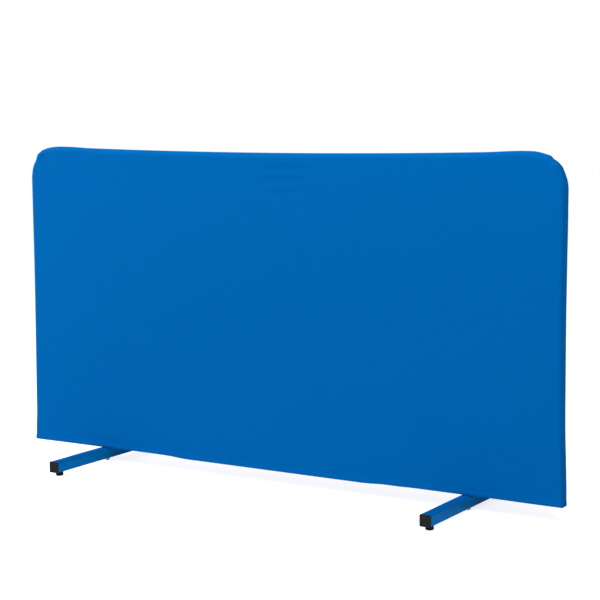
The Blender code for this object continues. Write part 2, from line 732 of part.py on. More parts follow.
def largest_front_face(bm):
    front = Vector((0, -1, 0))
    faces = [face for face in bm.faces if abs(face.normal.y) > abs(face.normal.x)]
    return min(faces, key=lambda face: face.calc_center_median().y), front


def outermost_face(side):
    def pick(bm):
        outward = Vector((side, 0, 0))
        return max(bm.faces, key=lambda face: side * face.calc_center_median().x), outward
    return pick


def make_cover_cloth():
    """One cloth folded over the top rail: front, back and the half-round rim between."""
    right = cover_stations()
    ring = right[:-1] + [mirror_station(s) for s in right[::-1]]
    bm = bmesh.new()
    for face in (-1, 1):
        rows = []
        for station in ring:
            angles = [station[3] * step / EDGE_STEPS for step in range(EDGE_STEPS + 1)]
            rows.append([bm.verts.new(rim_point(station, a, face)) for a in angles])
        for row, after in zip(rows, rows[1:]):
            for k in range(EDGE_STEPS):
                bm.faces.new((row[k], after[k], after[k + 1], row[k + 1]))
        lower_edge = []
        if face < 0:
            lower_edge = [bm.verts.new((x, -EDGE_RADIUS, z)) for x, z in hem_line()]
        bm.faces.new([row[0] for row in rows] + lower_edge)
    shell_from_sheet(bm, largest_front_face)
    thicken(add_object("cover_cloth", bm, "blue_cloth"))


def station_between(near, far, seam):
    """The place on the straight facets between two stations where the seam has an angle."""
    share = (seam - near[3]) / (far[3] - near[3])
    point = Vector(near[0]).lerp(Vector(far[0]), share)
    normal = Vector(near[1]).lerp(Vector(far[1]), share)
    return tuple(point), tuple(normal), near[2] + (far[2] - near[2]) * share, seam


def gusset_stations():
    """The rim's stations up to the gusset's narrow tip, just short of where the seams meet."""
    tip_seam = QUARTER - (GUSSET_TIP_WIDTH / 2 + GAP) / EDGE_RADIUS
    stations = cover_stations()
    below = [s for s in stations if s[3] < tip_seam]
    return below + [station_between(below[-1], stations[len(below)], tip_seam)]


def make_gusset(side):
    """The narrow strip down each end, which runs out in a point on the corner."""
    stations = gusset_stations()
    if side < 0:
        stations = [mirror_station(s) for s in stations]
    bm = bmesh.new()
    rows = []
    for station in stations:
        start = station[3] + GAP / station[2]
        angles = [start + (QUARTER - start) * step / GUSSET_STEPS
                  for step in range(GUSSET_STEPS + 1)]
        front = [bm.verts.new(rim_point(station, a, -1)) for a in angles]
        back = [bm.verts.new(rim_point(station, a, 1)) for a in angles]
        rows.append(front + back[::-1])
    for row, after in zip(rows, rows[1:]):
        for k in range(len(row) - 1):
            bm.faces.new((row[k], after[k], after[k + 1], row[k + 1]))
    shell_from_sheet(bm, outermost_face(side))
    thicken(add_object(side_name(side) + "_side_gusset", bm, "blue_cloth"))


def strip_mesh(outline, half_length):
    """Extrude a closed (y, z) outline along X."""
    return loft([[(x, y, z) for y, z in outline] for x in (-half_length, half_length)])


def make_closure():
    """Two flaps turned in under the rail and held together by hook and loop tape."""
    length = CLOSURE_X - CLOSURE_RISE
    inside = RAIL_SIDE / 2 + GAP
    skin = inside + CLOTH
    edge = inside - FLAP_BACKSET
    for name, face, bottom in (("front_hem_flap", -1, CLOSURE_BOTTOM),
                               ("back_hem_flap", 1, BACK_FLAP_BOTTOM)):
        tab_top = RAIL_BOTTOM + FLAP_TAB
        outline = [(face * skin, bottom), (face * skin, tab_top), (face * inside, tab_top),
                   (face * inside, bottom + CLOTH), (-face * edge, bottom + CLOTH),
                   (-face * edge, bottom)]
        add_object(name, strip_mesh(outline, length), "blue_cloth")
    half = TAPE_WIDTH / 2
    for name, bottom in (("hook_tape", HOOK_TAPE_BOTTOM), ("loop_tape", LOOP_TAPE_BOTTOM)):
        top = bottom + TAPE_THICKNESS
        outline = [(-half, bottom), (half, bottom), (half, top), (-half, top)]
        add_object(name, strip_mesh(outline, length - TAPE_END_MARGIN), "black_tape")


def build():
    clear_scene()
    make_base_rail()
    make_top_rail()
    for side in (-1, 1):
        make_side_bow(side)
        make_frame_screws(side)
        make_rail_plug(side)
        make_pivot(side)
        make_leg(side)
        make_gusset(side)
    make_cover_cloth()
    make_closure()


build()
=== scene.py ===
"""Table tennis barrier: a cloth cover stretched over a tubular frame on two swivel legs."""
import math

import bmesh
import bpy
from mathutils import Matrix, Vector, noise


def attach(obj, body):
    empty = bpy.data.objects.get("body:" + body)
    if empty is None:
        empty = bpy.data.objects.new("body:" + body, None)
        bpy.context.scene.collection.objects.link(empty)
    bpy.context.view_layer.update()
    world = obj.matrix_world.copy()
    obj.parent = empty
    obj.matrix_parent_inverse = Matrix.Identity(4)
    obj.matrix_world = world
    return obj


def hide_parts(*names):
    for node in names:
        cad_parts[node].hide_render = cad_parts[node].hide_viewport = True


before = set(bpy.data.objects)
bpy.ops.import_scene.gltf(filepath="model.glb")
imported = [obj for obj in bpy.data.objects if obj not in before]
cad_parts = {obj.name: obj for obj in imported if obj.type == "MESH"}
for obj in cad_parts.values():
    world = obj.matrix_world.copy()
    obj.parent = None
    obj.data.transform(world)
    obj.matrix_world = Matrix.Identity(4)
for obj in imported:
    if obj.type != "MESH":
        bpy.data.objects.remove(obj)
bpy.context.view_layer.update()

# Camera. It stands to the right of the panel, a little above the height of its top, and
# looks across it through a long lens, tipped very slightly out of level.

CAMERA_PLACE = (1.9296, -3.0161, 0.8419)
CAMERA_TURN, CAMERA_DIP, CAMERA_ROLL = 31.681, 6.697, -0.288

camera_data = bpy.data.cameras.new("camera")
camera_data.sensor_width = 36
camera_data.lens = 96.351
camera = bpy.data.objects.new("camera", camera_data)
bpy.context.collection.objects.link(camera)
camera.matrix_world = (Matrix.Translation(CAMERA_PLACE)
                       @ Matrix.Rotation(math.radians(CAMERA_TURN), 4, "Z")
                       @ Matrix.Rotation(math.radians(90 - CAMERA_DIP), 4, "X")
                       @ Matrix.Rotation(math.radians(CAMERA_ROLL), 4, "Z"))
bpy.context.scene.camera = camera
bpy.context.scene.view_settings.view_transform = "Standard"

# Floor and surroundings. A plain white studio: the floor is a pale matt sheet that keeps
# the shadow, and what the camera sees beyond it is white.

FLOOR_WHITE, FLOOR_GLOW = (0.9, 0.9, 0.9, 1), 0.75
STUDIO_LIGHT = 0.28


def add_node(tree, kind, traits=None, **inputs):
    """Add a shader node; an input given a socket is linked to it, any other is set."""
    made = tree.nodes.new("ShaderNode" + kind)
    for trait, value in (traits or {}).items():
        setattr(made, trait, value)
    for name, value in inputs.items():
        place = int(name[1:]) if name[0] == "_" else name.replace("_", " ")
        if isinstance(value, bpy.types.NodeSocket):
            tree.links.new(value, made.inputs[place])
        else:
            made.inputs[place].default_value = value
    return made


def maths(tree, operation, first, second=0.0):
    """The result of one sum on two values or sockets."""
    return add_node(tree, "Math", {"operation": operation}, _0=first, _1=second).outputs[0]


def seen_directly(tree):
    """1 for what the camera sees straight, in gloss or through glass, and 0 for light."""
    path = add_node(tree, "LightPath")
    seen = maths(tree, "MAXIMUM", path.outputs["Is Camera Ray"], path.outputs["Is Glossy Ray"])
    return maths(tree, "MAXIMUM", seen, path.outputs["Is Transmission Ray"])


bpy.ops.object.select_all(action="DESELECT")
bpy.ops.mesh.primitive_plane_add(size=40, location=(0, 0, 0))
floor = bpy.context.object
floor.name = "floor"
floor_paint = bpy.data.materials.new("white_floor")
floor_paint.use_nodes = True
tree = floor_paint.node_tree
tree.nodes.clear()
matt = add_node(tree, "BsdfDiffuse", Color=FLOOR_WHITE)
by_camera = add_node(tree, "LightPath").outputs["Is Camera Ray"]
glow = add_node(tree, "Emission", Strength=maths(tree, "MULTIPLY", by_camera, FLOOR_GLOW))
both = add_node(tree, "AddShader", _0=matt.outputs[0], _1=glow.outputs[0])
add_node(tree, "OutputMaterial", Surface=both.outputs[0])
floor.data.materials.append(floor_paint)

world = bpy.data.worlds.new("studio")
world.use_nodes = True
bpy.context.scene.world = world
tree = world.node_tree
level = maths(tree, "MULTIPLY_ADD", seen_directly(tree), 1 - STUDIO_LIGHT)
level.node.inputs[2].default_value = STUDIO_LIGHT
tree.links.new(level, tree.nodes["Background"].inputs["Strength"])
tree.nodes["Background"].inputs["Color"].default_value = (1, 1, 1, 1)

# Lamps. Three broad soft boxes: one at the left like a tall window, one high at the front
# right, and one overhead, a little forward, that brings out the rounded top edge.


def soft_lamp(name, place, target, size, power):
    """A rectangular lamp that shines from its place towards a target."""
    lamp_data = bpy.data.lights.new(name, "AREA")
    lamp_data.shape = "RECTANGLE"
    lamp_data.size, lamp_data.size_y = size
    lamp_data.energy = power
    lamp = bpy.data.objects.new(name, lamp_data)
    bpy.context.collection.objects.link(lamp)
    lamp.location = place
    towards = Vector(target) - Vector(place)
    lamp.rotation_euler = towards.to_track_quat("-Z", "Y").to_euler()


soft_lamp("left_lamp", place=(-2.6, -0.7, 1.4), target=(-0.5, 0, 0.5),
          size=(1.4, 1.6), power=45)
soft_lamp("right_lamp", place=(1.6, -1.7, 2.4), target=(0.4, 0, 0.6),
          size=(1.4, 1.2), power=29.5)
soft_lamp("top_lamp", place=(0, -0.6, 2.3), target=(0, 0, 0.5),
          size=(2.4, 1.0), power=21.5)

# Frame tubes. The base rail, the two side bows and the top rail are thin steel tube with
# the same blue powder coat as the legs; the cover hides them but for the rail's underside.

MM = 0.001

# Soft noise lies nearly all between these two values.
NOISE_LOW, NOISE_HIGH = 0.3, 0.7


def start_finish(name, colour, roughness, metallic=0.0, specular=0.5, tint=(1, 1, 1)):
    """A material with its plain numbers set, its tree, its shader and its coordinates."""
    material = bpy.data.materials.new(name)
    material.use_nodes = True
    tree = material.node_tree
    shader = tree.nodes["Principled BSDF"]
    shader.inputs["Base Color"].default_value = (*colour, 1)
    shader.inputs["Roughness"].default_value = roughness
    shader.inputs["Metallic"].default_value = metallic
    shader.inputs["Specular IOR Level"].default_value = specular
    shader.inputs["Specular Tint"].default_value = (*tint, 1)
    place = add_node(tree, "TexCoord").outputs["Object"]
    return material, tree, shader, place


def cloudy(tree, place, size, detail=2.0):
    """Soft noise whose spots are about one size across, in metres."""
    return add_node(tree, "TexNoise", Vector=place, Scale=1 / size, Detail=detail).outputs[0]


def vary_colour(tree, shader, pattern, colour, change):
    """Let a pattern make the base colour a little darker and lighter."""
    ramp = add_node(tree, "ValToRGB", Fac=pattern)
    for stop, place, share in ((0, NOISE_LOW, 1 - change), (1, NOISE_HIGH, 1 + change)):
        ramp.color_ramp.elements[stop].position = place
        ramp.color_ramp.elements[stop].color = (*[c * share for c in colour], 1)
    tree.links.new(ramp.outputs[0], shader.inputs["Base Color"])


def vary_roughness(tree, shader, pattern, low, high):
    """Let a pattern carry the roughness from one value to another."""
    spread = add_node(tree, "MapRange", Value=pattern, From_Min=NOISE_LOW,
                      From_Max=NOISE_HIGH, To_Min=low, To_Max=high)
    tree.links.new(spread.outputs[0], shader.inputs["Roughness"])


def raise_bumps(tree, shader, *layers):
    """Lay bump layers, each (height, strength, depth in metres), one on another."""
    below = None
    for height, strength, depth in layers:
        bump = add_node(tree, "Bump", Height=height, Strength=strength, Distance=depth)
        if below:
            tree.links.new(below, bump.inputs["Normal"])
        below = bump.outputs[0]
    tree.links.new(below, shader.inputs["Normal"])


BLUE_PAINT, BLUE_GLOSS = (0.0, 0.178, 0.475), (0.2, 0.6, 1)
powder_coat, tree, shader, place = start_finish(
    "blue_powder_coat", BLUE_PAINT, roughness=0.42, metallic=0.5, specular=0.06,
    tint=BLUE_GLOSS)
vary_colour(tree, shader, cloudy(tree, place, 40 * MM), BLUE_PAINT, change=0.04)
vary_roughness(tree, shader, cloudy(tree, place, 6 * MM), low=0.32, high=0.42)
raise_bumps(tree, shader, (cloudy(tree, place, 1.6 * MM, 1), 0.25, 0.06 * MM))


def give_finish(material, *names):
    """Put one material on CAD nodes that stay in view."""
    for name in names:
        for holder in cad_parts[name].material_slots:
            holder.material = material


give_finish(powder_coat, "base_rail", "top_rail", "left_side_bow", "right_side_bow")

# Frame screws and leg bushes. Bright zinc plated steel, a little cloudy. The cover hides
# the four tapping screws of the frame's joints, and the leg tubes hide the bushes.

ZINC = (0.491, 0.503, 0.515)
zinc_plate, tree, shader, place = start_finish(
    "zinc_plate", ZINC, roughness=0.34, metallic=1.0)
vary_colour(tree, shader, cloudy(tree, place, 2.5 * MM), ZINC, change=0.12)
vary_roughness(tree, shader, cloudy(tree, place, 1.5 * MM), low=0.26, high=0.42)
raise_bumps(tree, shader, (cloudy(tree, place, 0.3 * MM), 0.2, 0.01 * MM))
for side in ("left", "right"):
    give_finish(zinc_plate, side + "_upright_screw", side + "_top_screw", side + "_leg_bush")

# Rail end plugs. Charcoal moulded plastic caps pressed into the ends of the base rail,
# with the fine grain of a spark-eroded mould.

CHARCOAL = (0.02, 0.021, 0.0205)
charcoal_plastic, tree, shader, place = start_finish(
    "charcoal_plastic", CHARCOAL, roughness=0.5, specular=0.06)
vary_colour(tree, shader, cloudy(tree, place, 3 * MM), CHARCOAL, change=0.15)
vary_roughness(tree, shader, cloudy(tree, place, 1.2 * MM), low=0.44, high=0.6)
raise_bumps(tree, shader, (cloudy(tree, place, 0.35 * MM, 3), 0.45, 0.04 * MM))
give_finish(charcoal_plastic, "left_rail_plug", "right_rail_plug")

# Leg tubes. Square steel tube 25 mm across with rounded corners, powder coated blue, and
# drilled for the swivel bolt and for the screws of the feet.

LEG_X, FOOT_Y = 484 * MM, 179 * MM
LEG_LOW, LEG_HIGH, LEG_END = 10 * MM, 35 * MM, 197.2 * MM
TUBE_WIDTH, TUBE_CORNER, TUBE_WALL = 25 * MM, 2.5 * MM, 1.2 * MM
BOLT_HOLE, SCREW_HOLE, DRILL_REACH = 3.25 * MM, 2.4 * MM, 3 * MM


def select_alone(piece):
    """Select one piece and nothing else, and make it the active one."""
    bpy.ops.object.select_all(action="DESELECT")
    bpy.context.view_layer.objects.active = piece
    piece.select_set(True)


def open_alone(piece):
    """Open one piece in edit mode with nothing selected."""
    select_alone(piece)
    bpy.ops.object.mode_set(mode="EDIT")
    bpy.ops.mesh.select_mode(type="VERT")
    bpy.ops.mesh.select_all(action="DESELECT")


def pick(piece, kind, wanted):
    """Select the faces or edges of the open piece that a test accepts, and no others."""
    bpy.ops.mesh.select_mode(type="FACE" if kind == "faces" else "EDGE")
    bpy.ops.mesh.select_all(action="DESELECT")
    mesh = bmesh.from_edit_mesh(piece.data)
    for item in getattr(mesh, kind):
        if wanted(item):
            item.select_set(True)
    bmesh.update_edit_mesh(piece.data)


def runs_along(axis):
    """A test for edges that run along one axis."""
    def test(edge):
        start, end = (v.co for v in edge.verts)
        return abs((end - start).normalized()[axis]) > 0.99
    return test


def round_off(piece, kind, wanted, radius, segments):
    """Round the edges of the open piece, or the rims of its faces, that a test accepts."""
    pick(piece, kind, wanted)
    if kind == "faces":
        bpy.ops.mesh.region_to_loop()
    bpy.ops.mesh.bevel(offset=radius, segments=segments, affect="EDGES")


def start_box(name, size, centre):
    """A box about its centre."""
    bpy.ops.object.select_all(action="DESELECT")
    bpy.ops.mesh.primitive_cube_add(size=1, location=centre)
    piece = bpy.context.object
    piece.name = name
    piece.scale = size
    bpy.ops.object.transform_apply(location=True, rotation=True, scale=True)
    return piece


def start_round(name, radius, low, high, centre=(0, 0), sides=48):
    """A standing cylinder between two heights."""
    bpy.ops.object.select_all(action="DESELECT")
    bpy.ops.mesh.primitive_cylinder_add(vertices=sides, radius=radius, depth=high - low,
                                        location=(*centre, (low + high) / 2))
    piece = bpy.context.object
    piece.name = name
    bpy.ops.object.transform_apply(location=True, rotation=True, scale=True)
    return piece


def add_modifier(piece, kind, **settings):
    """Put a modifier on a piece, apply it, and leave the piece active."""
    select_alone(piece)
    modifier = piece.modifiers.new(kind.lower(), kind)
    for setting, value in settings.items():
        setattr(modifier, setting, value)
    bpy.ops.object.modifier_apply(modifier=modifier.name)


def cut_with(piece, tool, operation="DIFFERENCE"):
    """Cut a tool out of a piece, join it on, or keep what they share; the tool then goes."""
    add_modifier(piece, "BOOLEAN", operation=operation, object=tool, solver="EXACT")
    bpy.data.objects.remove(tool)


def drill(piece, radius, low, high, centre=(0, 0), sides=48):
    """Drill an upright hole between two heights."""
    cut_with(piece, start_round("drill", radius, low, high, centre, sides))


def shade(piece, degrees=32):
    """Shade a piece smooth but for the edges that turn more than some degrees."""
    select_alone(piece)
    bpy.ops.object.shade_smooth_by_angle(angle=math.radians(degrees))


def copy_of(piece, name, move=(0, 0, 0), turned=False):
    """A copy with its own mesh, turned half round the Z axis if asked, and then moved."""
    made = piece.copy()
    made.data = piece.data.copy()
    made.name = name
    bpy.context.collection.objects.link(made)
    half_turn = Matrix.Rotation(math.pi if turned else 0, 4, "Z")
    made.data.transform(Matrix.Translation(move) @ half_turn)
    return made


def settle(piece, body, slot, material, *nodes):
    """Give a finished piece its material and its body, and hide the nodes it stands for; the
    slot is not used.
    """
    piece.data.materials.clear()
    piece.data.materials.append(material)
    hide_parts(*nodes)
    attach(piece, body)


right_tube = start_box("right_square_tube", (TUBE_WIDTH, 2 * LEG_END, LEG_HIGH - LEG_LOW),
                       (LEG_X, 0, (LEG_LOW + LEG_HIGH) / 2))
open_alone(right_tube)
round_off(right_tube, "edges", runs_along(1), TUBE_CORNER, 6)
pick(right_tube, "faces", lambda face: abs(face.normal.y) > 0.9)
bpy.ops.mesh.delete(type="ONLY_FACE")
bpy.ops.object.mode_set(mode="OBJECT")
add_modifier(right_tube, "SOLIDIFY", thickness=TUBE_WALL, offset=-1, use_even_offset=True)
for radius, y, z in ((BOLT_HOLE, 0, LEG_LOW), (BOLT_HOLE, 0, LEG_HIGH),
                     (SCREW_HOLE, -FOOT_Y, LEG_LOW), (SCREW_HOLE, FOOT_Y, LEG_LOW)):
    drill(right_tube, radius, z - DRILL_REACH, z + DRILL_REACH, (LEG_X, y), 32)
shade(right_tube)
left_tube = copy_of(right_tube, "left_square_tube", (-2 * LEG_X, 0, 0))
settle(right_tube, "right_leg", "blue_paint", powder_coat, "right_leg_tube")
settle(left_tube, "left_leg", "blue_paint", powder_coat, "left_leg_tube")

# Leg end caps. Moulded charcoal plastic: a flange with a rounded rim that covers the
# tube's end, and a ribbed hollow plug that grips inside it.

SIDES = (("left", -1), ("right", 1))
CAP_SIDE, CAP_THICK, CAP_CORNER, CAP_RIM = 26 * MM, 2.5 * MM, 3 * MM, 1.2 * MM
CAP_Y, CAP_Z = -198.75 * MM, 22.5 * MM
PLUG_INSET, PLUG_WALL, PLUG_HOLLOW = 2 * MM, 1.4 * MM, 10.5 * MM
PLUG_RIBS, RIB_GROWTH = 3, 1.0136
RIB_STEPS = ((2.2 * MM, 1), (0.3 * MM, RIB_GROWTH), (1.2 * MM, 1), (0.3 * MM, 1 / RIB_GROWTH))


def extrude(*move):
    """Extrude what is selected in the open piece, and move what that makes."""
    bpy.ops.mesh.extrude_region_move(TRANSFORM_OT_translate={"value": move})


front_cap = start_box("end_cap", (CAP_SIDE, CAP_THICK, CAP_SIDE), (0, CAP_Y, CAP_Z))
open_alone(front_cap)
round_off(front_cap, "edges", runs_along(1), CAP_CORNER, 7)
round_off(front_cap, "faces", lambda face: face.normal.y < -0.9, CAP_RIM, 5)
pick(front_cap, "faces", lambda face: face.normal.y > 0.9)
bpy.ops.mesh.inset(thickness=PLUG_INSET)
for _ in range(PLUG_RIBS):
    for step, growth in RIB_STEPS:
        extrude(0, step, 0)
        bpy.ops.transform.resize(value=(growth, 1, growth), center_override=(0, 0, CAP_Z))
bpy.ops.mesh.inset(thickness=PLUG_WALL)
extrude(0, -PLUG_HOLLOW, 0)
bpy.ops.object.mode_set(mode="OBJECT")
shade(front_cap)
for side, sign in SIDES:
    for which, turned in (("front", False), ("rear", True)):
        cap = copy_of(front_cap, f"{side}_{which}_end_cap", (sign * LEG_X, 0, 0), turned)
        settle(cap, side + "_leg", "black_plastic", charcoal_plastic,
               f"{side}_leg_{which}_cap")
bpy.data.objects.remove(front_cap)

# Feet. Round moulded rubber buffers under the ends of the legs, with a rounded tread and
# a sunk hole for the screw that holds each one.

RUBBER = (0.008, 0.008, 0.0085)
black_rubber, tree, shader, place = start_finish(
    "black_rubber", RUBBER, roughness=0.62, specular=0.15)
vary_colour(tree, shader, cloudy(tree, place, 2 * MM), RUBBER, change=0.3)
vary_roughness(tree, shader, cloudy(tree, place, 1.5 * MM), low=0.55, high=0.75)
raise_bumps(tree, shader, (cloudy(tree, place, 0.5 * MM, 3), 0.4, 0.05 * MM))

FOOT_RADIUS, FOOT_TOP, FOOT_TAPER = 9 * MM, 9.7 * MM, 8.6 / 9
FOOT_RIM, TREAD_CORNER = 0.5 * MM, 2.5 * MM
TREAD_WIDTH, SEAT_WIDTH, TOP_WIDTH = 1.9 * MM, 2.2 * MM, 5.7 * MM
SEAT_DEPTH, HOLE_START = 4 * MM, 1 * MM


def level_faces(z, reach=0.01 * MM):
    """A test for level faces at one height."""
    return lambda face: abs(face.calc_center_median().z - z) < reach and abs(face.normal.z) > 0.9


buffer = start_round("buffer", FOOT_RADIUS, 0, FOOT_TOP)
open_alone(buffer)
pick(buffer, "faces", level_faces(FOOT_TOP))
bpy.ops.transform.resize(value=(FOOT_TAPER, FOOT_TAPER, 1), center_override=(0, 0, FOOT_TOP))
round_off(buffer, "faces", level_faces(FOOT_TOP), FOOT_RIM, 3)
round_off(buffer, "faces", level_faces(0), TREAD_CORNER, 8)
pick(buffer, "faces", level_faces(0))
bpy.ops.mesh.inset(thickness=TREAD_WIDTH)
extrude(0, 0, SEAT_DEPTH)
bpy.ops.mesh.inset(thickness=SEAT_WIDTH)
extrude(0, 0, HOLE_START)
bpy.ops.mesh.delete(type="ONLY_FACE")
pick(buffer, "faces", level_faces(FOOT_TOP))
bpy.ops.mesh.inset(thickness=TOP_WIDTH)
bpy.ops.mesh.delete(type="ONLY_FACE")
bpy.ops.mesh.select_mode(type="EDGE")
bpy.ops.mesh.select_non_manifold()
bpy.ops.mesh.bridge_edge_loops()
bpy.ops.object.mode_set(mode="OBJECT")
shade(buffer)

# Foot screws. Zinc plated pan head screws with a cross slot, sunk in the feet and driven
# up through the leg tube's wall.

HEAD_LOW, HEAD_HIGH, HEAD_RADIUS, HEAD_ROUND = 1.3 * MM, 3.7 * MM, 4 * MM, 1.2 * MM
HEAD_LEDGE, SCREW_LENGTH, TIP_LENGTH, TIP_TAPER = 1.9 * MM, 11 * MM, 2 * MM, 0.4
SLOT_WIDTH, SLOT_LENGTH, SLOT_CUT, SLOT_MIDDLE = 1.1 * MM, 5 * MM, 3 * MM, 0.9 * MM

foot_screw = start_round("foot_screw", HEAD_RADIUS, HEAD_LOW, HEAD_HIGH, sides=40)
open_alone(foot_screw)
round_off(foot_screw, "faces", level_faces(HEAD_LOW), HEAD_ROUND, 5)
pick(foot_screw, "faces", level_faces(HEAD_HIGH))
bpy.ops.mesh.inset(thickness=HEAD_LEDGE)
extrude(0, 0, SCREW_LENGTH)
extrude(0, 0, TIP_LENGTH)
bpy.ops.transform.resize(value=(TIP_TAPER, TIP_TAPER, 1), center_override=(0, 0, 0))
bpy.ops.object.mode_set(mode="OBJECT")
for across in ((SLOT_WIDTH, SLOT_LENGTH), (SLOT_LENGTH, SLOT_WIDTH)):
    cut_with(foot_screw, start_box("slot", (*across, SLOT_CUT), (0, 0, SLOT_MIDDLE)))
shade(foot_screw)
for side, sign in SIDES:
    for which, end in (("front", -1), ("rear", 1)):
        name = f"{side}_{which}"
        under_leg = (sign * LEG_X, end * FOOT_Y, 0)
        foot = copy_of(buffer, name + "_buffer", under_leg)
        settle(foot, side + "_leg", "black_rubber", black_rubber, name + "_foot")
        screw = copy_of(foot_screw, name + "_sunk_screw", under_leg)
        settle(screw, side + "_leg", "zinc_steel", zinc_plate, name + "_foot_screw")
bpy.data.objects.remove(buffer)
bpy.data.objects.remove(foot_screw)

# Swivel washers. A plain zinc plated washer lies under the bolt's head and one over the
# nut; between rail and leg lies a wider one of natural nylon, which the leg turns on.

NYLON = (0.761, 0.761, 0.716)
natural_nylon, tree, shader, place = start_finish("natural_nylon", NYLON, roughness=0.45)
shader.inputs["Subsurface Weight"].default_value = 0.2
shader.inputs["Subsurface Radius"].default_value = (0.8 * MM, 0.8 * MM, 0.6 * MM)
vary_colour(tree, shader, cloudy(tree, place, 4 * MM), NYLON, change=0.04)
raise_bumps(tree, shader, (cloudy(tree, place, 0.4 * MM), 0.2, 0.02 * MM))

WASHERS = (("_head_washer", 6 * MM, 57.0 * MM, "zinc_steel", zinc_plate),
           ("_friction_washer", 9 * MM, 35.3 * MM, "white_nylon", natural_nylon),
           ("_nut_washer", 6 * MM, 8.5 * MM, "zinc_steel", zinc_plate))
WASHER_THICK, WASHER_ROUND = 1.2 * MM, 0.18 * MM
LOOSE_BORE = 3.3 * MM


def settle_swivel(*parts):
    """Put each (piece, name, slot, material, node) in both swivels, and take it away."""
    for side, sign in SIDES:
        for piece, name, slot, material, node in parts:
            settle(copy_of(piece, side + name, (sign * LEG_X, 0, 0)), "panel", slot,
                   material, side + node)
    for part in parts:
        bpy.data.objects.remove(part[0])


for node, radius, low, slot, material in WASHERS:
    washer = start_round("washer", radius, low, low + WASHER_THICK)
    drill(washer, LOOSE_BORE, low - 1 * MM, low + 3 * MM)
    open_alone(washer)
    for face_z in (low, low + WASHER_THICK):
        round_off(washer, "faces", level_faces(face_z), WASHER_ROUND, 2)
    bpy.ops.object.mode_set(mode="OBJECT")
    shade(washer)
    settle_swivel((washer, node + "_turned", slot, material, node))

# Swivel bolts. Zinc plated hexagon bolts 6 mm across, put down through the rail and the
# leg; the end of the rolled thread stands out below the nut.

BOLT_END, HEAD_SEAT, HEAD_TOP = 2.2 * MM, 58.5 * MM, 62.5 * MM
SHANK_RADIUS, CORE_RADIUS, END_ROUND = 3 * MM, 2.52 * MM, 0.4 * MM
THREAD_LOW, THREAD_TURNS, PITCH = 2.5 * MM, 17, 1 * MM
RIDGE_X, RIDGE_DEPTH, RIDGE_FOOT, RIDGE_CREST = 2.7 * MM, 0.6 * MM, 0.88 * MM, 0.2

# A hexagon's size across its flats, and, by that size, the radius that its corners are
# turned to and the chamfer's height; and how much the chamfer narrows the end.
FLATS, TURNED_RADIUS, CHAMFER, CHAMFER_TAPER = 10 * MM, 0.585, 0.065, 0.81


def start_hexagon(name, flats, low, high, chamfered):
    """A standing hexagon whose corners are turned off at the chosen ends."""
    piece = start_round(name, flats / math.sqrt(3), low, high, sides=6)
    turning = start_round("turning", TURNED_RADIUS * flats, low, high, sides=72)
    chamfer = CHAMFER * flats
    open_alone(turning)
    for end, inward in ((low, chamfer), (high, -chamfer)):
        if end in chamfered:
            pick(turning, "faces", level_faces(end))
            bpy.ops.transform.translate(value=(0, 0, inward))
            extrude(0, 0, -inward)
            bpy.ops.transform.resize(value=(CHAMFER_TAPER, CHAMFER_TAPER, 1),
                                     center_override=(0, 0, 0))
    bpy.ops.object.mode_set(mode="OBJECT")
    cut_with(piece, turning, "INTERSECT")
    return piece


def join_to(piece, other):
    """Join another mesh to a piece."""
    select_alone(piece)
    other.select_set(True)
    bpy.ops.object.join()


bolt = start_hexagon("bolt", FLATS, HEAD_SEAT, HEAD_TOP, (HEAD_TOP,))
shank = start_round("shank", SHANK_RADIUS, THREAD_LOW + THREAD_TURNS * PITCH,
                    HEAD_SEAT + 1 * MM, sides=40)
core = start_round("core", CORE_RADIUS, BOLT_END, THREAD_LOW + (THREAD_TURNS + 1) * PITCH,
                   sides=40)
open_alone(core)
round_off(core, "faces", level_faces(BOLT_END), END_ROUND, 2)
bpy.ops.object.mode_set(mode="OBJECT")
bpy.ops.object.select_all(action="DESELECT")
bpy.ops.mesh.primitive_plane_add(size=1, location=(RIDGE_X, 0, THREAD_LOW),
                                 rotation=(math.pi / 2, 0, 0))
thread = bpy.context.object
thread.name = "thread"
thread.scale = (RIDGE_DEPTH, RIDGE_FOOT, 1)
bpy.ops.object.transform_apply(location=True, rotation=True, scale=True)
open_alone(thread)
pick(thread, "edges", lambda edge: min(v.co.x for v in edge.verts) > RIDGE_X)
bpy.ops.transform.resize(value=(1, 1, RIDGE_CREST), center_override=(0, 0, THREAD_LOW))
pick(thread, "faces", lambda face: True)
bpy.ops.mesh.delete(type="ONLY_FACE")
bpy.ops.object.mode_set(mode="OBJECT")
add_modifier(thread, "SCREW", axis="Z", angle=2 * math.pi, screw_offset=PITCH, steps=32,
             render_steps=32, iterations=THREAD_TURNS)
open_alone(thread)
bpy.ops.mesh.select_all(action="SELECT")
bpy.ops.mesh.fill_holes(sides=4)
bpy.ops.mesh.normals_make_consistent(inside=False)
bpy.ops.object.mode_set(mode="OBJECT")
for part in (shank, core, thread):
    join_to(bolt, part)
shade(bolt)
settle_swivel((bolt, "_hexagon_bolt", "zinc_steel", zinc_plate, "_pivot_bolt"))

# Lock nuts. Zinc plated hexagon nuts under the legs, each with a rolled collar that holds
# a nylon ring against the thread.

NUT_LOW, COLLAR_TOP, NUT_HIGH = 3.2 * MM, 4.6 * MM, 8.2 * MM
COLLAR_RADIUS, COLLAR_BORE, COLLAR_ROUND = 4.3 * MM, 3.75 * MM, 0.6 * MM
RING_RADIUS, RING_BORE = 3.7 * MM, 3.06 * MM

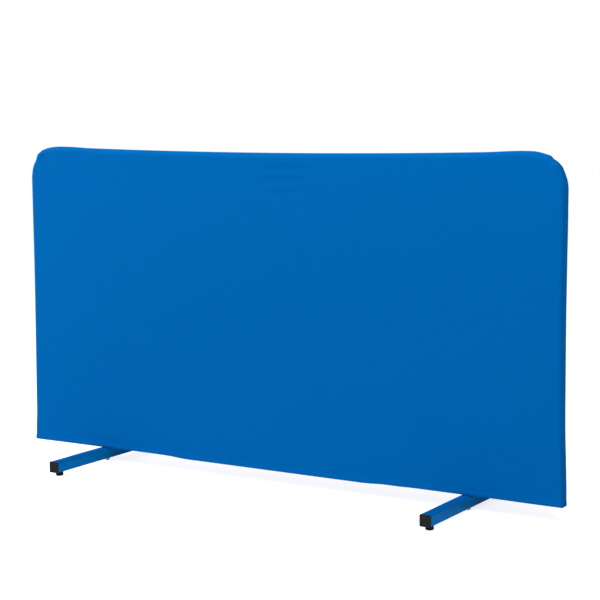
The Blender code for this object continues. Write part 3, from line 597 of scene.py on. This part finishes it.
nut = start_hexagon("nut", FLATS, COLLAR_TOP, NUT_HIGH, (COLLAR_TOP, NUT_HIGH))
collar = start_round("collar", COLLAR_RADIUS, NUT_LOW, COLLAR_TOP + 0.5 * MM)
open_alone(collar)
round_off(collar, "faces", level_faces(NUT_LOW), COLLAR_ROUND, 4)
bpy.ops.object.mode_set(mode="OBJECT")
cut_with(nut, collar, "UNION")
drill(nut, LOOSE_BORE, NUT_LOW - 1 * MM, NUT_HIGH + 1 * MM)
drill(nut, COLLAR_BORE, NUT_LOW - 1 * MM, COLLAR_TOP)
shade(nut)
ring = start_round("ring", RING_RADIUS, NUT_LOW + 0.25 * MM, COLLAR_TOP - 0.05 * MM)
drill(ring, RING_BORE, NUT_LOW, COLLAR_TOP)
shade(ring)
settle_swivel((nut, "_hexagon_nut", "zinc_steel", zinc_plate, "_lock_nut"),
              (ring, "_nut_ring", "white_nylon", natural_nylon, "_lock_nut"))

# Cover cloth. One piece of smooth blue polyester folded over the top rail, front and back,
# with a turned hem below; its rim follows the tubes and its ends are sewn to the gussets.

BLUE_CLOTH = (0.0, 0.135, 0.452)
CLOTH_THICK = 0.6 * MM

# The weave's yarns; the hem's stitches, their line over its edge and half their width; the
# width over which a seam is sunk and painted darker, and the share of the cloth's brightness
# that this painted shade leaves at a seam's middle.
YARN, STITCH, STITCH_LINE, STITCH_HALF = 0.45 * MM, 3.2 * MM, 9.6 * MM, 0.4 * MM
SEAM_WIDTH, SEAM_SHADE = 2.2 * MM, 0.8


def cloth_finish(name, colour):
    """Fine plain weave: its yarns, a faint unevenness, painted shade along the sunk seams, and
    the hem's stitches.
    """
    material, tree, shader, _ = start_finish(name, colour, roughness=0.85, specular=0.02,
                                             tint=BLUE_GLOSS)
    flat = add_node(tree, "Attribute", {"attribute_name": "flat"}).outputs["Vector"]
    along, up, edge = add_node(tree, "SeparateXYZ", Vector=flat).outputs
    vary_colour(tree, shader, cloudy(tree, flat, 90 * MM, 3), colour, change=0.005)
    seam = add_node(tree, "Attribute", {"attribute_name": "seam"}).outputs["Fac"]
    # Painted shade: the base colour darkens towards each seam, standing in for the shadow in its
    # sunk line.
    depth = add_node(tree, "MapRange", {"interpolation_type": "SMOOTHSTEP"}, Value=seam,
                     From_Min=0.3 * MM, From_Max=SEAM_WIDTH, To_Min=SEAM_SHADE, To_Max=1.0)
    cloth_colour = shader.inputs["Base Color"].links[0].from_socket
    seam_painted_shade = add_node(tree, "VectorMath", {"operation": "MULTIPLY"}, _0=cloth_colour,
                      _1=depth.outputs[0])
    tree.links.new(seam_painted_shade.outputs[0], shader.inputs["Base Color"])
    turns = math.pi / YARN
    yarns = maths(tree, "MULTIPLY", maths(tree, "SINE", maths(tree, "MULTIPLY", along, turns)),
                  maths(tree, "SINE", maths(tree, "MULTIPLY", up, turns)))
    off_line = maths(tree, "ABSOLUTE", maths(tree, "SUBTRACT", edge, STITCH_LINE))
    on_line = maths(tree, "LESS_THAN", off_line, STITCH_HALF)
    beat = maths(tree, "SINE", maths(tree, "MULTIPLY", along, 2 * math.pi / STITCH))
    stitches = maths(tree, "MULTIPLY", on_line, maths(tree, "GREATER_THAN", beat, -0.6))
    raise_bumps(tree, shader, (yarns, 0.3, 0.03 * MM), (stitches, 0.6, 0.2 * MM))
    return material


blue_cloth = cloth_finish("blue_polyester", BLUE_CLOTH)

# The line that the tubes' middles follow, with the cloth one edge radius outside it: the
# uprights, drawn in a little between foot and corner; the corners; and the sagging top.
EDGE = 11.75 * MM
UPRIGHT_X, UPRIGHT_LOW, UPRIGHT_WAIST = 687.05 * MM, 57 * MM, 1.3 * MM
CORNER_RADIUS, BARRIER_HEIGHT = 65.3 * MM, 760 * MM
CORNER_X, CORNER_Z = UPRIGHT_X - CORNER_RADIUS, BARRIER_HEIGHT - EDGE - CORNER_RADIUS
TOP_SAG = 8.9 * MM
TOP_SLOPE = math.atan2(2 * TOP_SAG, CORNER_X)
RAIL_END_X = CORNER_X - CORNER_RADIUS * math.sin(TOP_SLOPE)
RAIL_END_Z = CORNER_Z + CORNER_RADIUS * math.cos(TOP_SLOPE)

# How far round from a face the seams lie, how far up the corner they meet, and how near
# the rim's middle they start to run together, by angle and by distance; the distance also
# fades out the painted shade along the seams where they meet.
SIDE_SEAM, TIP_ANGLE = math.radians(45), math.radians(58)
MEETING_ANGLE, MEETING_WIDTH = math.radians(8), 3 * MM

# The rail's square end pushes the cloth out at the foot of each end, higher up on the
# right: the heights between which its corners round off, and those of the hem's flare.
BOX_CORNER, HEM_FLARE = 3.2 * MM, 1.2 * MM
SQUARED = {"left": (52 * MM, 105 * MM), "right": (80 * MM, 215 * MM)}
FLARED = {"left": (42 * MM, 51 * MM), "right": (45 * MM, 115 * MM)}

# How far the stretched cloth stands out from each upright in its lower half, in
# millimetres, by height.
SPREAD = {"left": ((54, 0), (92, 2.4), (250, 1.8), (330, 1.3), (400, 0.7), (500, 0)),
          "right": ((0, 0.9), (100, 1.4), (200, 1.1), (330, 0.7), (440, 0))}


def along_line(value, marks, sag=0.0):
    """Read a line drawn through (place, height) marks; a sag bows it in between them."""
    for (start, low), (end, high) in zip(marks, marks[1:]):
        if start <= value <= end:
            share = (value - start) / (end - start)
            return low + (high - low) * share - sag * (value - start) * (end - value)
    return 0


def ease(value, low, high):
    """A smooth step from 0 at one value to 1 at another."""
    share = min(max((value - low) / (high - low), 0), 1)
    return share * share * (3 - 2 * share)


def upright_x(z):
    """Where an upright stands at one height."""
    share = min(max((z - UPRIGHT_LOW) / (CORNER_Z - UPRIGHT_LOW), 0), 1)
    return UPRIGHT_X - UPRIGHT_WAIST * math.sin(math.pi * share) ** 2


def rail_z(x):
    """The height of the sagging top rail at one place."""
    return RAIL_END_Z - TOP_SAG * (1 - (x / RAIL_END_X) ** 2)


def steps_between(start, end, count):
    """Even steps from one value, left out, to another, kept."""
    return [start + (end - start) * step / count for step in range(1, count + 1)]


HEM_EDGE = 36.2 * MM
HEM_HEIGHTS = [z * MM for z in (36.2, 37.0, 38.6, 41.4, 44.4, 45.4, 46.1, 46.9, 48.4, 51, 54)]
SIDE_HEIGHTS = (HEM_HEIGHTS + steps_between(54 * MM, 210 * MM, 16)
                + steps_between(210 * MM, 600 * MM, 18)
                + steps_between(600 * MM, CORNER_Z, 16)[:-1])
CORNER_STEPS, TOP_STEPS = 48, 46


def rim_stations(side):
    """Places along the rim of one half, drawn on the right, from the hem to the middle.

    Each is (point, outward normal, radius that the rim's section is rounded to, how far
    round from the face the main cloth reaches before the gusset begins, outward flare).
    """
    stations = []
    for z in SIDE_HEIGHTS:
        flare = HEM_FLARE * (1 - ease(z, *FLARED[side]))
        corner = BOX_CORNER + (EDGE - BOX_CORNER) * ease(z, *SQUARED[side])
        x = upright_x(z) + along_line(z / MM, SPREAD[side]) * MM
        stations.append(((x, z), (1, 0), corner, SIDE_SEAM, flare))
    for step in range(CORNER_STEPS + 1):
        angle = (math.pi / 2 + TOP_SLOPE) * step / CORNER_STEPS
        seam = SIDE_SEAM + (math.pi / 2 - SIDE_SEAM) * min(angle / TIP_ANGLE, 1)
        normal = (math.cos(angle), math.sin(angle))
        point = (CORNER_X + CORNER_RADIUS * normal[0], CORNER_Z + CORNER_RADIUS * normal[1])
        stations.append((point, normal, EDGE, seam, 0))
    for x in steps_between(RAIL_END_X, 0, TOP_STEPS):
        slope = 2 * TOP_SAG * x / RAIL_END_X ** 2
        size = math.hypot(1, slope)
        stations.append(((x, rail_z(x)), (-slope / size, 1 / size), EDGE, math.pi / 2, 0))
    return stations


def mirror_station(station):
    """A station of the left half, from one that was drawn on the right."""
    (x, z), (nx, nz), corner, seam, flare = station
    return (-x, z), (-nx, nz), corner, seam, flare


# The height of the lower edge in millimetres, by places along it; and how much lower the
# front edge hangs, which clears the folded legs from 284 on. The unevenness dies out
# between two heights over the hem.
HEM_LINE = ((-720, 35.6), (-670, 35.6), (-600, 36.0), (-360, 36.5), (385, 36.5), (560, 36.4),
            (630, 35.9), (720, 35.8))
FRONT_DROP = ((-324, 0), (-297, 0.45), (-284, 0.9), (-270, 1.9), (-257, 2.65), (-243, 3.2),
              (-230, 3.4), (230, 3.4), (243, 3.2), (257, 2.6), (270, 1.7), (284, 0.95),
              (324, 0.95), (338, 0.65), (351, 0.2), (365, 0))
HEM_FADE = (60 * MM, 640 * MM)


def hem_z(x, face):
    """Height of the lower edge; the front one drops in the middle to cover the closure."""
    drop = along_line(x / MM, FRONT_DROP) if face < 0 else 0
    return (along_line(x / MM, HEM_LINE) - drop) * MM


def over_hem(x, rise, face):
    """Height on the cloth at a rise over the hem, whose unevenness dies out further up."""
    low = hem_z(x, face)
    return low + rise - (low - HEM_EDGE) * ease(rise, *HEM_FADE)


def rim_point(station, angle, face):
    """Place, outward direction and flat place of the rim at an angle round from a face."""
    (x, z), (nx, nz), corner, _, flare = station
    out = EDGE - corner + corner * math.sin(angle)
    y = face * (EDGE - corner + corner * math.cos(angle))
    if z < CORNER_Z:
        z = over_hem(x, z - HEM_EDGE, face)
    point = Vector((x + nx * (out + flare), y, z + nz * out))
    outward = Vector((nx * math.sin(angle), face * math.cos(angle), nz * math.sin(angle)))
    reach = EDGE - corner + corner * angle
    return point, outward, (x + nx * reach, z + nz * reach)


def waves(point, size, seed):
    """Soft waves of about one size, from -1 to 1."""
    return noise.noise(Vector(point) / size + Vector((seed, 1.7 * seed, 0.6 * seed)))


# How far, in millimetres, the cloth stands off the tube round each upper corner, where it
# is drawn straight from one gather to the next, by degrees from the side; then along the
# top. A straight line between gathers falls inside the round corner by the chord's sag
# per degree squared, and no deeper than the tube lets it.
LEFT_CROWN = ((18, 0), (27, 0.7), (34, 0.3), (40, 1.3), (47, 4.6), (58, 4.2), (69, 1.9),
              (80, 0.3), (90, 0))
RIGHT_CROWN = ((16, 0), (28, 0.6), (36, 2.0), (41, 1.7), (45, 1.1), (50, 0.2), (55.5, 0.3),
               (60, 2.0), (68, 0.4), (78, -0.2), (96, 0))
TOP_CROWN = ((525 * MM, 0), (572 * MM, 1.3), (602 * MM, 1.2), (632 * MM, 0))
CHORD_SAG = (CORNER_RADIUS + EDGE) / MM / 2 * math.radians(1) ** 2
DEEPEST_SAG = 0.25

# Gathers on the faces below the corners: how far round from the side each lies, its
# distance from the corner's middle, its length, its width and its height, in millimetres.
RIGHT_GATHERS = ((43, 66, 12, 3.2, 0.35), (49, 68, 12, 3.0, -0.4), (55, 68, 12, 3.2, 0.3),
                 (36, 67, 10, 3.6, -0.3), (25, 67, 10, 4.0, -0.25), (62, 66, 12, 4.5, -0.25))
LEFT_GATHERS = ((33, 66, 16, 6.0, -0.4), (22, 62, 16, 5.0, 0.4), (12, 56, 16, 5.0, -0.4),
                (44, 66, 16, 6.0, 0.3), (60, 52, 18, 7.0, -0.3))
GATHER_NEAREST, GATHER_SHIFT = 20 * MM, 5


def crown(point):
    """The lift that the corners and the ends of the top give the outer part of the rim."""
    x, z = abs(point.x), point.z
    if z < CORNER_Z:
        return 0
    dx, dz = x - CORNER_X, z - CORNER_Z
    beyond = math.hypot(dx, dz) - CORNER_RADIUS if dx > 0 else z - rail_z(x)
    angle = math.degrees(math.atan2(dz, dx))
    marks = LEFT_CROWN if point.x < 0 else RIGHT_CROWN
    lift = max(along_line(angle, marks, CHORD_SAG), -DEEPEST_SAG) + along_line(x, TOP_CROWN)
    return lift * MM * ease(beyond, -0.3 * EDGE, 0.75 * EDGE)


def gathers(point):
    """The lift of the puckers that the bent corners draw in the cloth."""
    side = 1 if point.x > 0 else -1
    dx, dz = side * point.x - CORNER_X, point.z - CORNER_Z
    if dx < -20 * MM or dz < -30 * MM:
        return 0
    away = math.hypot(dx, dz)
    angle = math.degrees(math.atan2(dz, dx))
    lift = 0
    for at, radius, length, width, height in RIGHT_GATHERS if side > 0 else LEFT_GATHERS:
        at += GATHER_SHIFT * ease(point.y, -0.5 * EDGE, 0.5 * EDGE)
        across = math.radians(angle - at) * max(away, GATHER_NEAREST) / (width * MM)
        down = (away - radius * MM) / (length * MM)
        lift += height * MM * math.exp(-across * across - down * down)
    return lift


# The turned hem's thickness, and the heights at which it starts and ends; the ripple along
# it; the fullness beside a seam at each end of the panel; the length over which these two
# fade; the stretched faces' dip and waves; and the size and seed of each kind of waves.
HEM_THICK, HEM_START, HEM_STOP = 0.55 * MM, (-0.2 * MM, 1.2 * MM), (8.6 * MM, 9.8 * MM)
HEM_RIPPLE, FADE = 0.35 * MM, 9 * MM
SEAM_FULL = {"left": 0.2 * MM, "right": 0.8 * MM}
FACE_DIP, FACE_WAVE = 0.8 * MM, 0.4 * MM
HEM_WAVES, SEAM_WAVES, FACE_WAVES = (16 * MM, 3), (15 * MM, 7), (260 * MM, 11)


def swell(point, face, seam_gap=None):
    """How far the cloth stands off its even line: hem, seam, gathers and soft waves."""
    over_edge = point.z - hem_z(point.x, face)
    lift = HEM_THICK * (ease(over_edge, *HEM_START) * (1 - ease(over_edge, *HEM_STOP)))
    near_hem = math.exp(-abs(over_edge - FADE) / FADE)
    lift += HEM_RIPPLE * near_hem * waves(point, *HEM_WAVES)
    if seam_gap is not None:
        fullness = SEAM_FULL["left" if point.x < 0 else "right"] * math.exp(-seam_gap / FADE)
        lift += fullness * (ease(seam_gap, 0, SEAM_WIDTH) - 0.4
                            + 0.4 * waves(point, *SEAM_WAVES))
    lift += gathers(point) + crown(point)
    inside = min(ease(CORNER_X + 40 * MM - abs(point.x), 0, 160 * MM),
                 ease(740 * MM - point.z, 0, 120 * MM), ease(over_edge, 10 * MM, 120 * MM))
    return lift + inside * (FACE_WAVE * waves(point, *FACE_WAVES) - FACE_DIP)


def seam_fullness(point, face, gap, sewn):
    """How much further the cloth stands off beside a seam."""
    return sewn * (swell(point, face, gap) - swell(point, face))


def sewn_share(seam):
    """1 along the seams, and down to 0 where the two meet at the gusset's point."""
    return min((math.pi / 2 - seam) / MEETING_ANGLE, 1)


CREASE_X, CREASE_Z, CREASE_HALF, CREASE_SLANT = 31 * MM, 723.6 * MM, 74 * MM, 0.72
CREASE_HEIGHT, CREASE_PITCH = 0.72 * MM, 28 * MM


def top_creases(point):
    """Faint level creases under the middle of the top rail, in a downward wedge."""
    down = CREASE_Z - point.z
    half_width = CREASE_HALF - CREASE_SLANT * down
    if half_width <= 0:
        return 0
    across = (point.x - CREASE_X) / half_width
    shape = math.exp(-across ** 4) * ease(down, -16 * MM, -4 * MM)
    shape *= 1 - ease(down, 66 * MM, 84 * MM)
    return -CREASE_HEIGHT * shape * math.sin(2 * math.pi * down / CREASE_PITCH)


# The rows of points on a face, in millimetres outwards from the corner's middle; those
# round the rim, by shares of the way to the seam; and those across half a gusset.
RINGS = [0, 8, 15, 21, 26.5, 32, 37.5, 42.5, 47.5, 52, 56.5, 61]
RIM_SHARES = [0, 0.14, 0.28, 0.42, 0.55, 0.67, 0.78, 0.87, 0.94, 1]
GUSSET_SHARES = [0, 0.06, 0.13, 0.22, 0.36, 0.52, 0.68, 0.84, 1]


def start_cloth():
    """An empty sheet, and its layers for each point's flat place and distance from a seam."""
    mesh = bmesh.new()
    flat = mesh.verts.layers.float_vector.new("flat")
    return mesh, (flat, mesh.verts.layers.float.new("seam"))


def add_cloth_point(mesh, layers, point, outward, flat, lift, edge, seam=1.0):
    """A point of the sheet, with its flat place, its height over the hem and its seam."""
    vertex = mesh.verts.new(point + outward * lift)
    vertex[layers[0]] = (flat[0], flat[1], edge)
    vertex[layers[1]] = seam
    return vertex


def add_face_point(mesh, layers, place, face):
    """A point of the panel's flat front or back."""
    lift = swell(place, face) + top_creases(place)
    return add_cloth_point(mesh, layers, place, Vector((0, face, 0)), (place.x, place.z), lift,
                           place.z - hem_z(place.x, face))


def fill_rows(mesh, rows):
    """Lay faces between rows of points."""
    for row, after in zip(rows, rows[1:]):
        for k in range(len(row) - 1):
            mesh.faces.new((row[k], after[k], after[k + 1], row[k + 1]))


def finish_cloth(mesh, name, outward_of):
    """Join a sheet's parts, turn its faces outwards and give it its thickness inwards."""
    bmesh.ops.remove_doubles(mesh, verts=mesh.verts, dist=0.01 * MM)
    bmesh.ops.recalc_face_normals(mesh, faces=mesh.faces)
    mesh.normal_update()
    turned = sum(face.normal.dot(outward_of(face.calc_center_median())) for face in mesh.faces)
    if turned < 0:
        bmesh.ops.reverse_faces(mesh, faces=mesh.faces)
    for face in mesh.faces:
        face.smooth = True
    data = bpy.data.meshes.new(name)
    mesh.to_mesh(data)
    mesh.free()
    piece = bpy.data.objects.new(name, data)
    bpy.context.collection.objects.link(piece)
    add_modifier(piece, "SOLIDIFY", thickness=CLOTH_THICK, offset=-1)
    return piece


def rim_row(mesh, layers, station, face):
    """A row of points from a face's flat field outwards and round the rim to the seam."""
    (x, z), (nx, nz), corner, seam, _ = station
    row = []
    for ring in RINGS:
        inward = CORNER_RADIUS - ring * MM
        place = Vector((x - nx * inward, face * EDGE, z - nz * inward))
        if z < CORNER_Z:
            place.z = over_hem(place.x, z - HEM_EDGE, face)
        row.append(add_face_point(mesh, layers, place, face))
    sewn = sewn_share(seam)
    for share in RIM_SHARES:
        point, outward, flat = rim_point(station, seam * share, face)
        lift, away = swell(point, face) + top_creases(point), 1
        if sewn > 0:
            gap = (1 - share) * seam * corner
            lift += seam_fullness(point, face, gap, sewn)
            # The distance from the seam sets the painted shade that darkens the cloth beside it.
            away = gap + (1 - sewn) * MEETING_WIDTH
        row.append(add_cloth_point(mesh, layers, point, outward, flat, lift,
                                   point.z - hem_z(point.x, face), away))
    return row


def field_rows(mesh, layers, stations, face):
    """The level rows of the flat field that the rim goes round, from the hem to the top."""
    ends = [(stations[j][0][0] + CORNER_RADIUS, stations[-1 - j][0][0] - CORNER_RADIUS, z)
            for j, z in enumerate(SIDE_HEIGHTS)]
    ends.append((-CORNER_X, CORNER_X, CORNER_Z))
    beside_top = len(SIDE_HEIGHTS) + CORNER_STEPS
    rows = []
    for left_end, right_end, height in ends:
        rise = height - HEM_EDGE
        row = []
        for (x, z), (nx, nz), *_ in stations[beside_top:-beside_top]:
            top_x, top_z = x - nx * CORNER_RADIUS, z - nz * CORNER_RADIUS
            across = (top_x + CORNER_X) / (2 * CORNER_X)
            place_x = left_end + (right_end - left_end) * across
            place_z = over_hem(place_x, rise, face) + (top_z - CORNER_Z) * ease(rise, *HEM_FADE)
            row.append(add_face_point(mesh, layers, Vector((place_x, face * EDGE, place_z)),
                                      face))
        rows.append(row)
    return rows


stations = [mirror_station(s) for s in rim_stations("left")] + rim_stations("right")[-2::-1]
mesh, layers = start_cloth()
for face in (-1, 1):
    fill_rows(mesh, [rim_row(mesh, layers, station, face) for station in stations])
    fill_rows(mesh, field_rows(mesh, layers, stations, face))
cover = finish_cloth(mesh, "fitted_cover", lambda c: Vector((0, 1 if c.y > 0 else -1, 0)))
settle(cover, "panel", "blue_cloth", blue_cloth, "cover_cloth")

# Side gussets. Narrow strips of the same cloth sewn in down both ends, with the seams a
# little sunk between rounded edges; each runs out in a point high on the corner.

GUSSET_FULL, GUSSET_ROUND = {"left": 0.1 * MM, "right": 0.4 * MM}, 3 * MM
TIP_SEAM = math.radians(89.2)


def gusset_stations(side):
    """The rim's stations up to the point where the two seams meet."""
    stations = [s for s in rim_stations(side) if s[3] < TIP_SEAM]
    return stations if side == "right" else [mirror_station(s) for s in stations]


for side, sign in SIDES:
    mesh, layers = start_cloth()
    rows = []
    for station in gusset_stations(side):
        _, _, corner, seam, _ = station
        half = EDGE - corner + (math.pi / 2 - seam) * corner
        sewn = sewn_share(seam)
        row = []
        for face, shares in ((-1, GUSSET_SHARES), (1, GUSSET_SHARES[-2::-1])):
            for share in shares:
                angle = seam + (math.pi / 2 - seam) * share
                point, outward, _ = rim_point(station, angle, face)
                if share == 1:
                    point.y = 0
                gap = share * half
                lift = swell(point, face) + seam_fullness(point, face, gap, sewn)
                lift += GUSSET_FULL[side] * sewn * ease(gap, 0, GUSSET_ROUND)
                # The last value, the distance from the seam, sets the painted shade that darkens
                # the cloth beside it.
                row.append(add_cloth_point(mesh, layers, point, outward,
                                           (face * (half - gap), point.z), lift,
                                           point.z - hem_z(point.x, face),
                                           gap + (1 - sewn) * MEETING_WIDTH))
        rows.append(row)
    fill_rows(mesh, rows)
    gusset = finish_cloth(mesh, side + "_end_strip", lambda c: Vector((sign, 0, 0)))
    settle(gusset, "panel", "blue_cloth", blue_cloth, side + "_side_gusset")

# Hem flaps. Two long flaps of the cover's cloth, turned in under the base rail from the
# front and from the back, one above the other.

FLAP_HALF, FLAP_STEPS, FLAP_SWAY = 247 * MM, 82, 0.12 * MM
WALL_Y, FOLD_RADIUS, FOLD_STEPS = 10.85, 1.5, 5


def folded_strip(name, section, outward_of, seed):
    """A long strip of cloth with a bent section, a little uneven along its length."""
    mesh, layers = start_cloth()
    rows = []
    for step in range(FLAP_STEPS + 1):
        x = FLAP_HALF * (2 * step / FLAP_STEPS - 1)
        row, run = [], 0
        for k, (y, z) in enumerate(section):
            if k:
                run += math.hypot(y - section[k - 1][0], z - section[k - 1][1]) * MM
            wave = noise.noise(Vector((x / (22 * MM), seed, run / (9 * MM))))
            row.append(add_cloth_point(mesh, layers, Vector((x, y * MM, z * MM)),
                                       Vector((0, 0, -1)), (x, run), FLAP_SWAY * wave, 0.1))
        rows.append(row)
    fill_rows(mesh, rows)
    return finish_cloth(mesh, name, outward_of)


def flap_section(face, low):
    """A flap's section in millimetres: down the rail's wall, round the fold and under."""
    section = [(face * WALL_Y, 45.8), (face * WALL_Y, 42), (face * WALL_Y, low + 3)]
    for step in range(FOLD_STEPS + 1):
        angle = math.radians(-90 * step / FOLD_STEPS)
        section.append((face * (WALL_Y - FOLD_RADIUS + FOLD_RADIUS * math.cos(angle)),
                        low + FOLD_RADIUS + FOLD_RADIUS * math.sin(angle)))
    return section + [(face * 5, low), (0, low), (-face * 4, low), (-face * 7.75, low)]


def under_rail(centre):
    """Downwards for the level part of a flap, and no direction for its wall."""
    return Vector((0, 0, -1 if abs(centre.y) < 8 * MM else 0))


for name, face, low in (("front", -1, 33.0), ("back", 1, 35.9)):
    flap = folded_strip(name + "_turned_flap", flap_section(face, low), under_rail, face * 3)
    settle(flap, "panel", "blue_cloth", blue_cloth, name + "_hem_flap")

# Closing tapes. Woven hook tape and loop tape, black, sewn to the two flaps where they
# lie one above the other.

TAPE = (0.013, 0.014, 0.019)
TAPE_LENGTH, TAPE_WIDTH, TAPE_THICK = 482 * MM, 14 * MM, 0.7 * MM
TAPE_CORNER, TAPE_RIM = 1.2 * MM, 0.2 * MM

for name, tuft, low in (("hook", 1.0 * MM, 33.9 * MM), ("loop", 0.5 * MM, 34.9 * MM)):
    tape_finish, tree, shader, place = start_finish(
        name + "_tape_black", TAPE, roughness=0.9, specular=0.15)
    vary_colour(tree, shader, cloudy(tree, place, 3 * MM), TAPE, change=0.25)
    cells = add_node(tree, "TexVoronoi", Vector=place, Scale=1 / tuft)
    raise_bumps(tree, shader, (cells.outputs["Distance"], 0.8, 0.25 * MM))
    tape = start_box(name + "_strip", (TAPE_LENGTH, TAPE_WIDTH, TAPE_THICK),
                     (0, 0, low + TAPE_THICK / 2))
    open_alone(tape)
    round_off(tape, "edges", runs_along(2), TAPE_CORNER, 4)
    round_off(tape, "faces", lambda face: face.normal.z > 0.9, TAPE_RIM, 2)
    bpy.ops.object.mode_set(mode="OBJECT")
    shade(tape)
    settle(tape, "panel", "black_tape", tape_finish, name + "_tape")
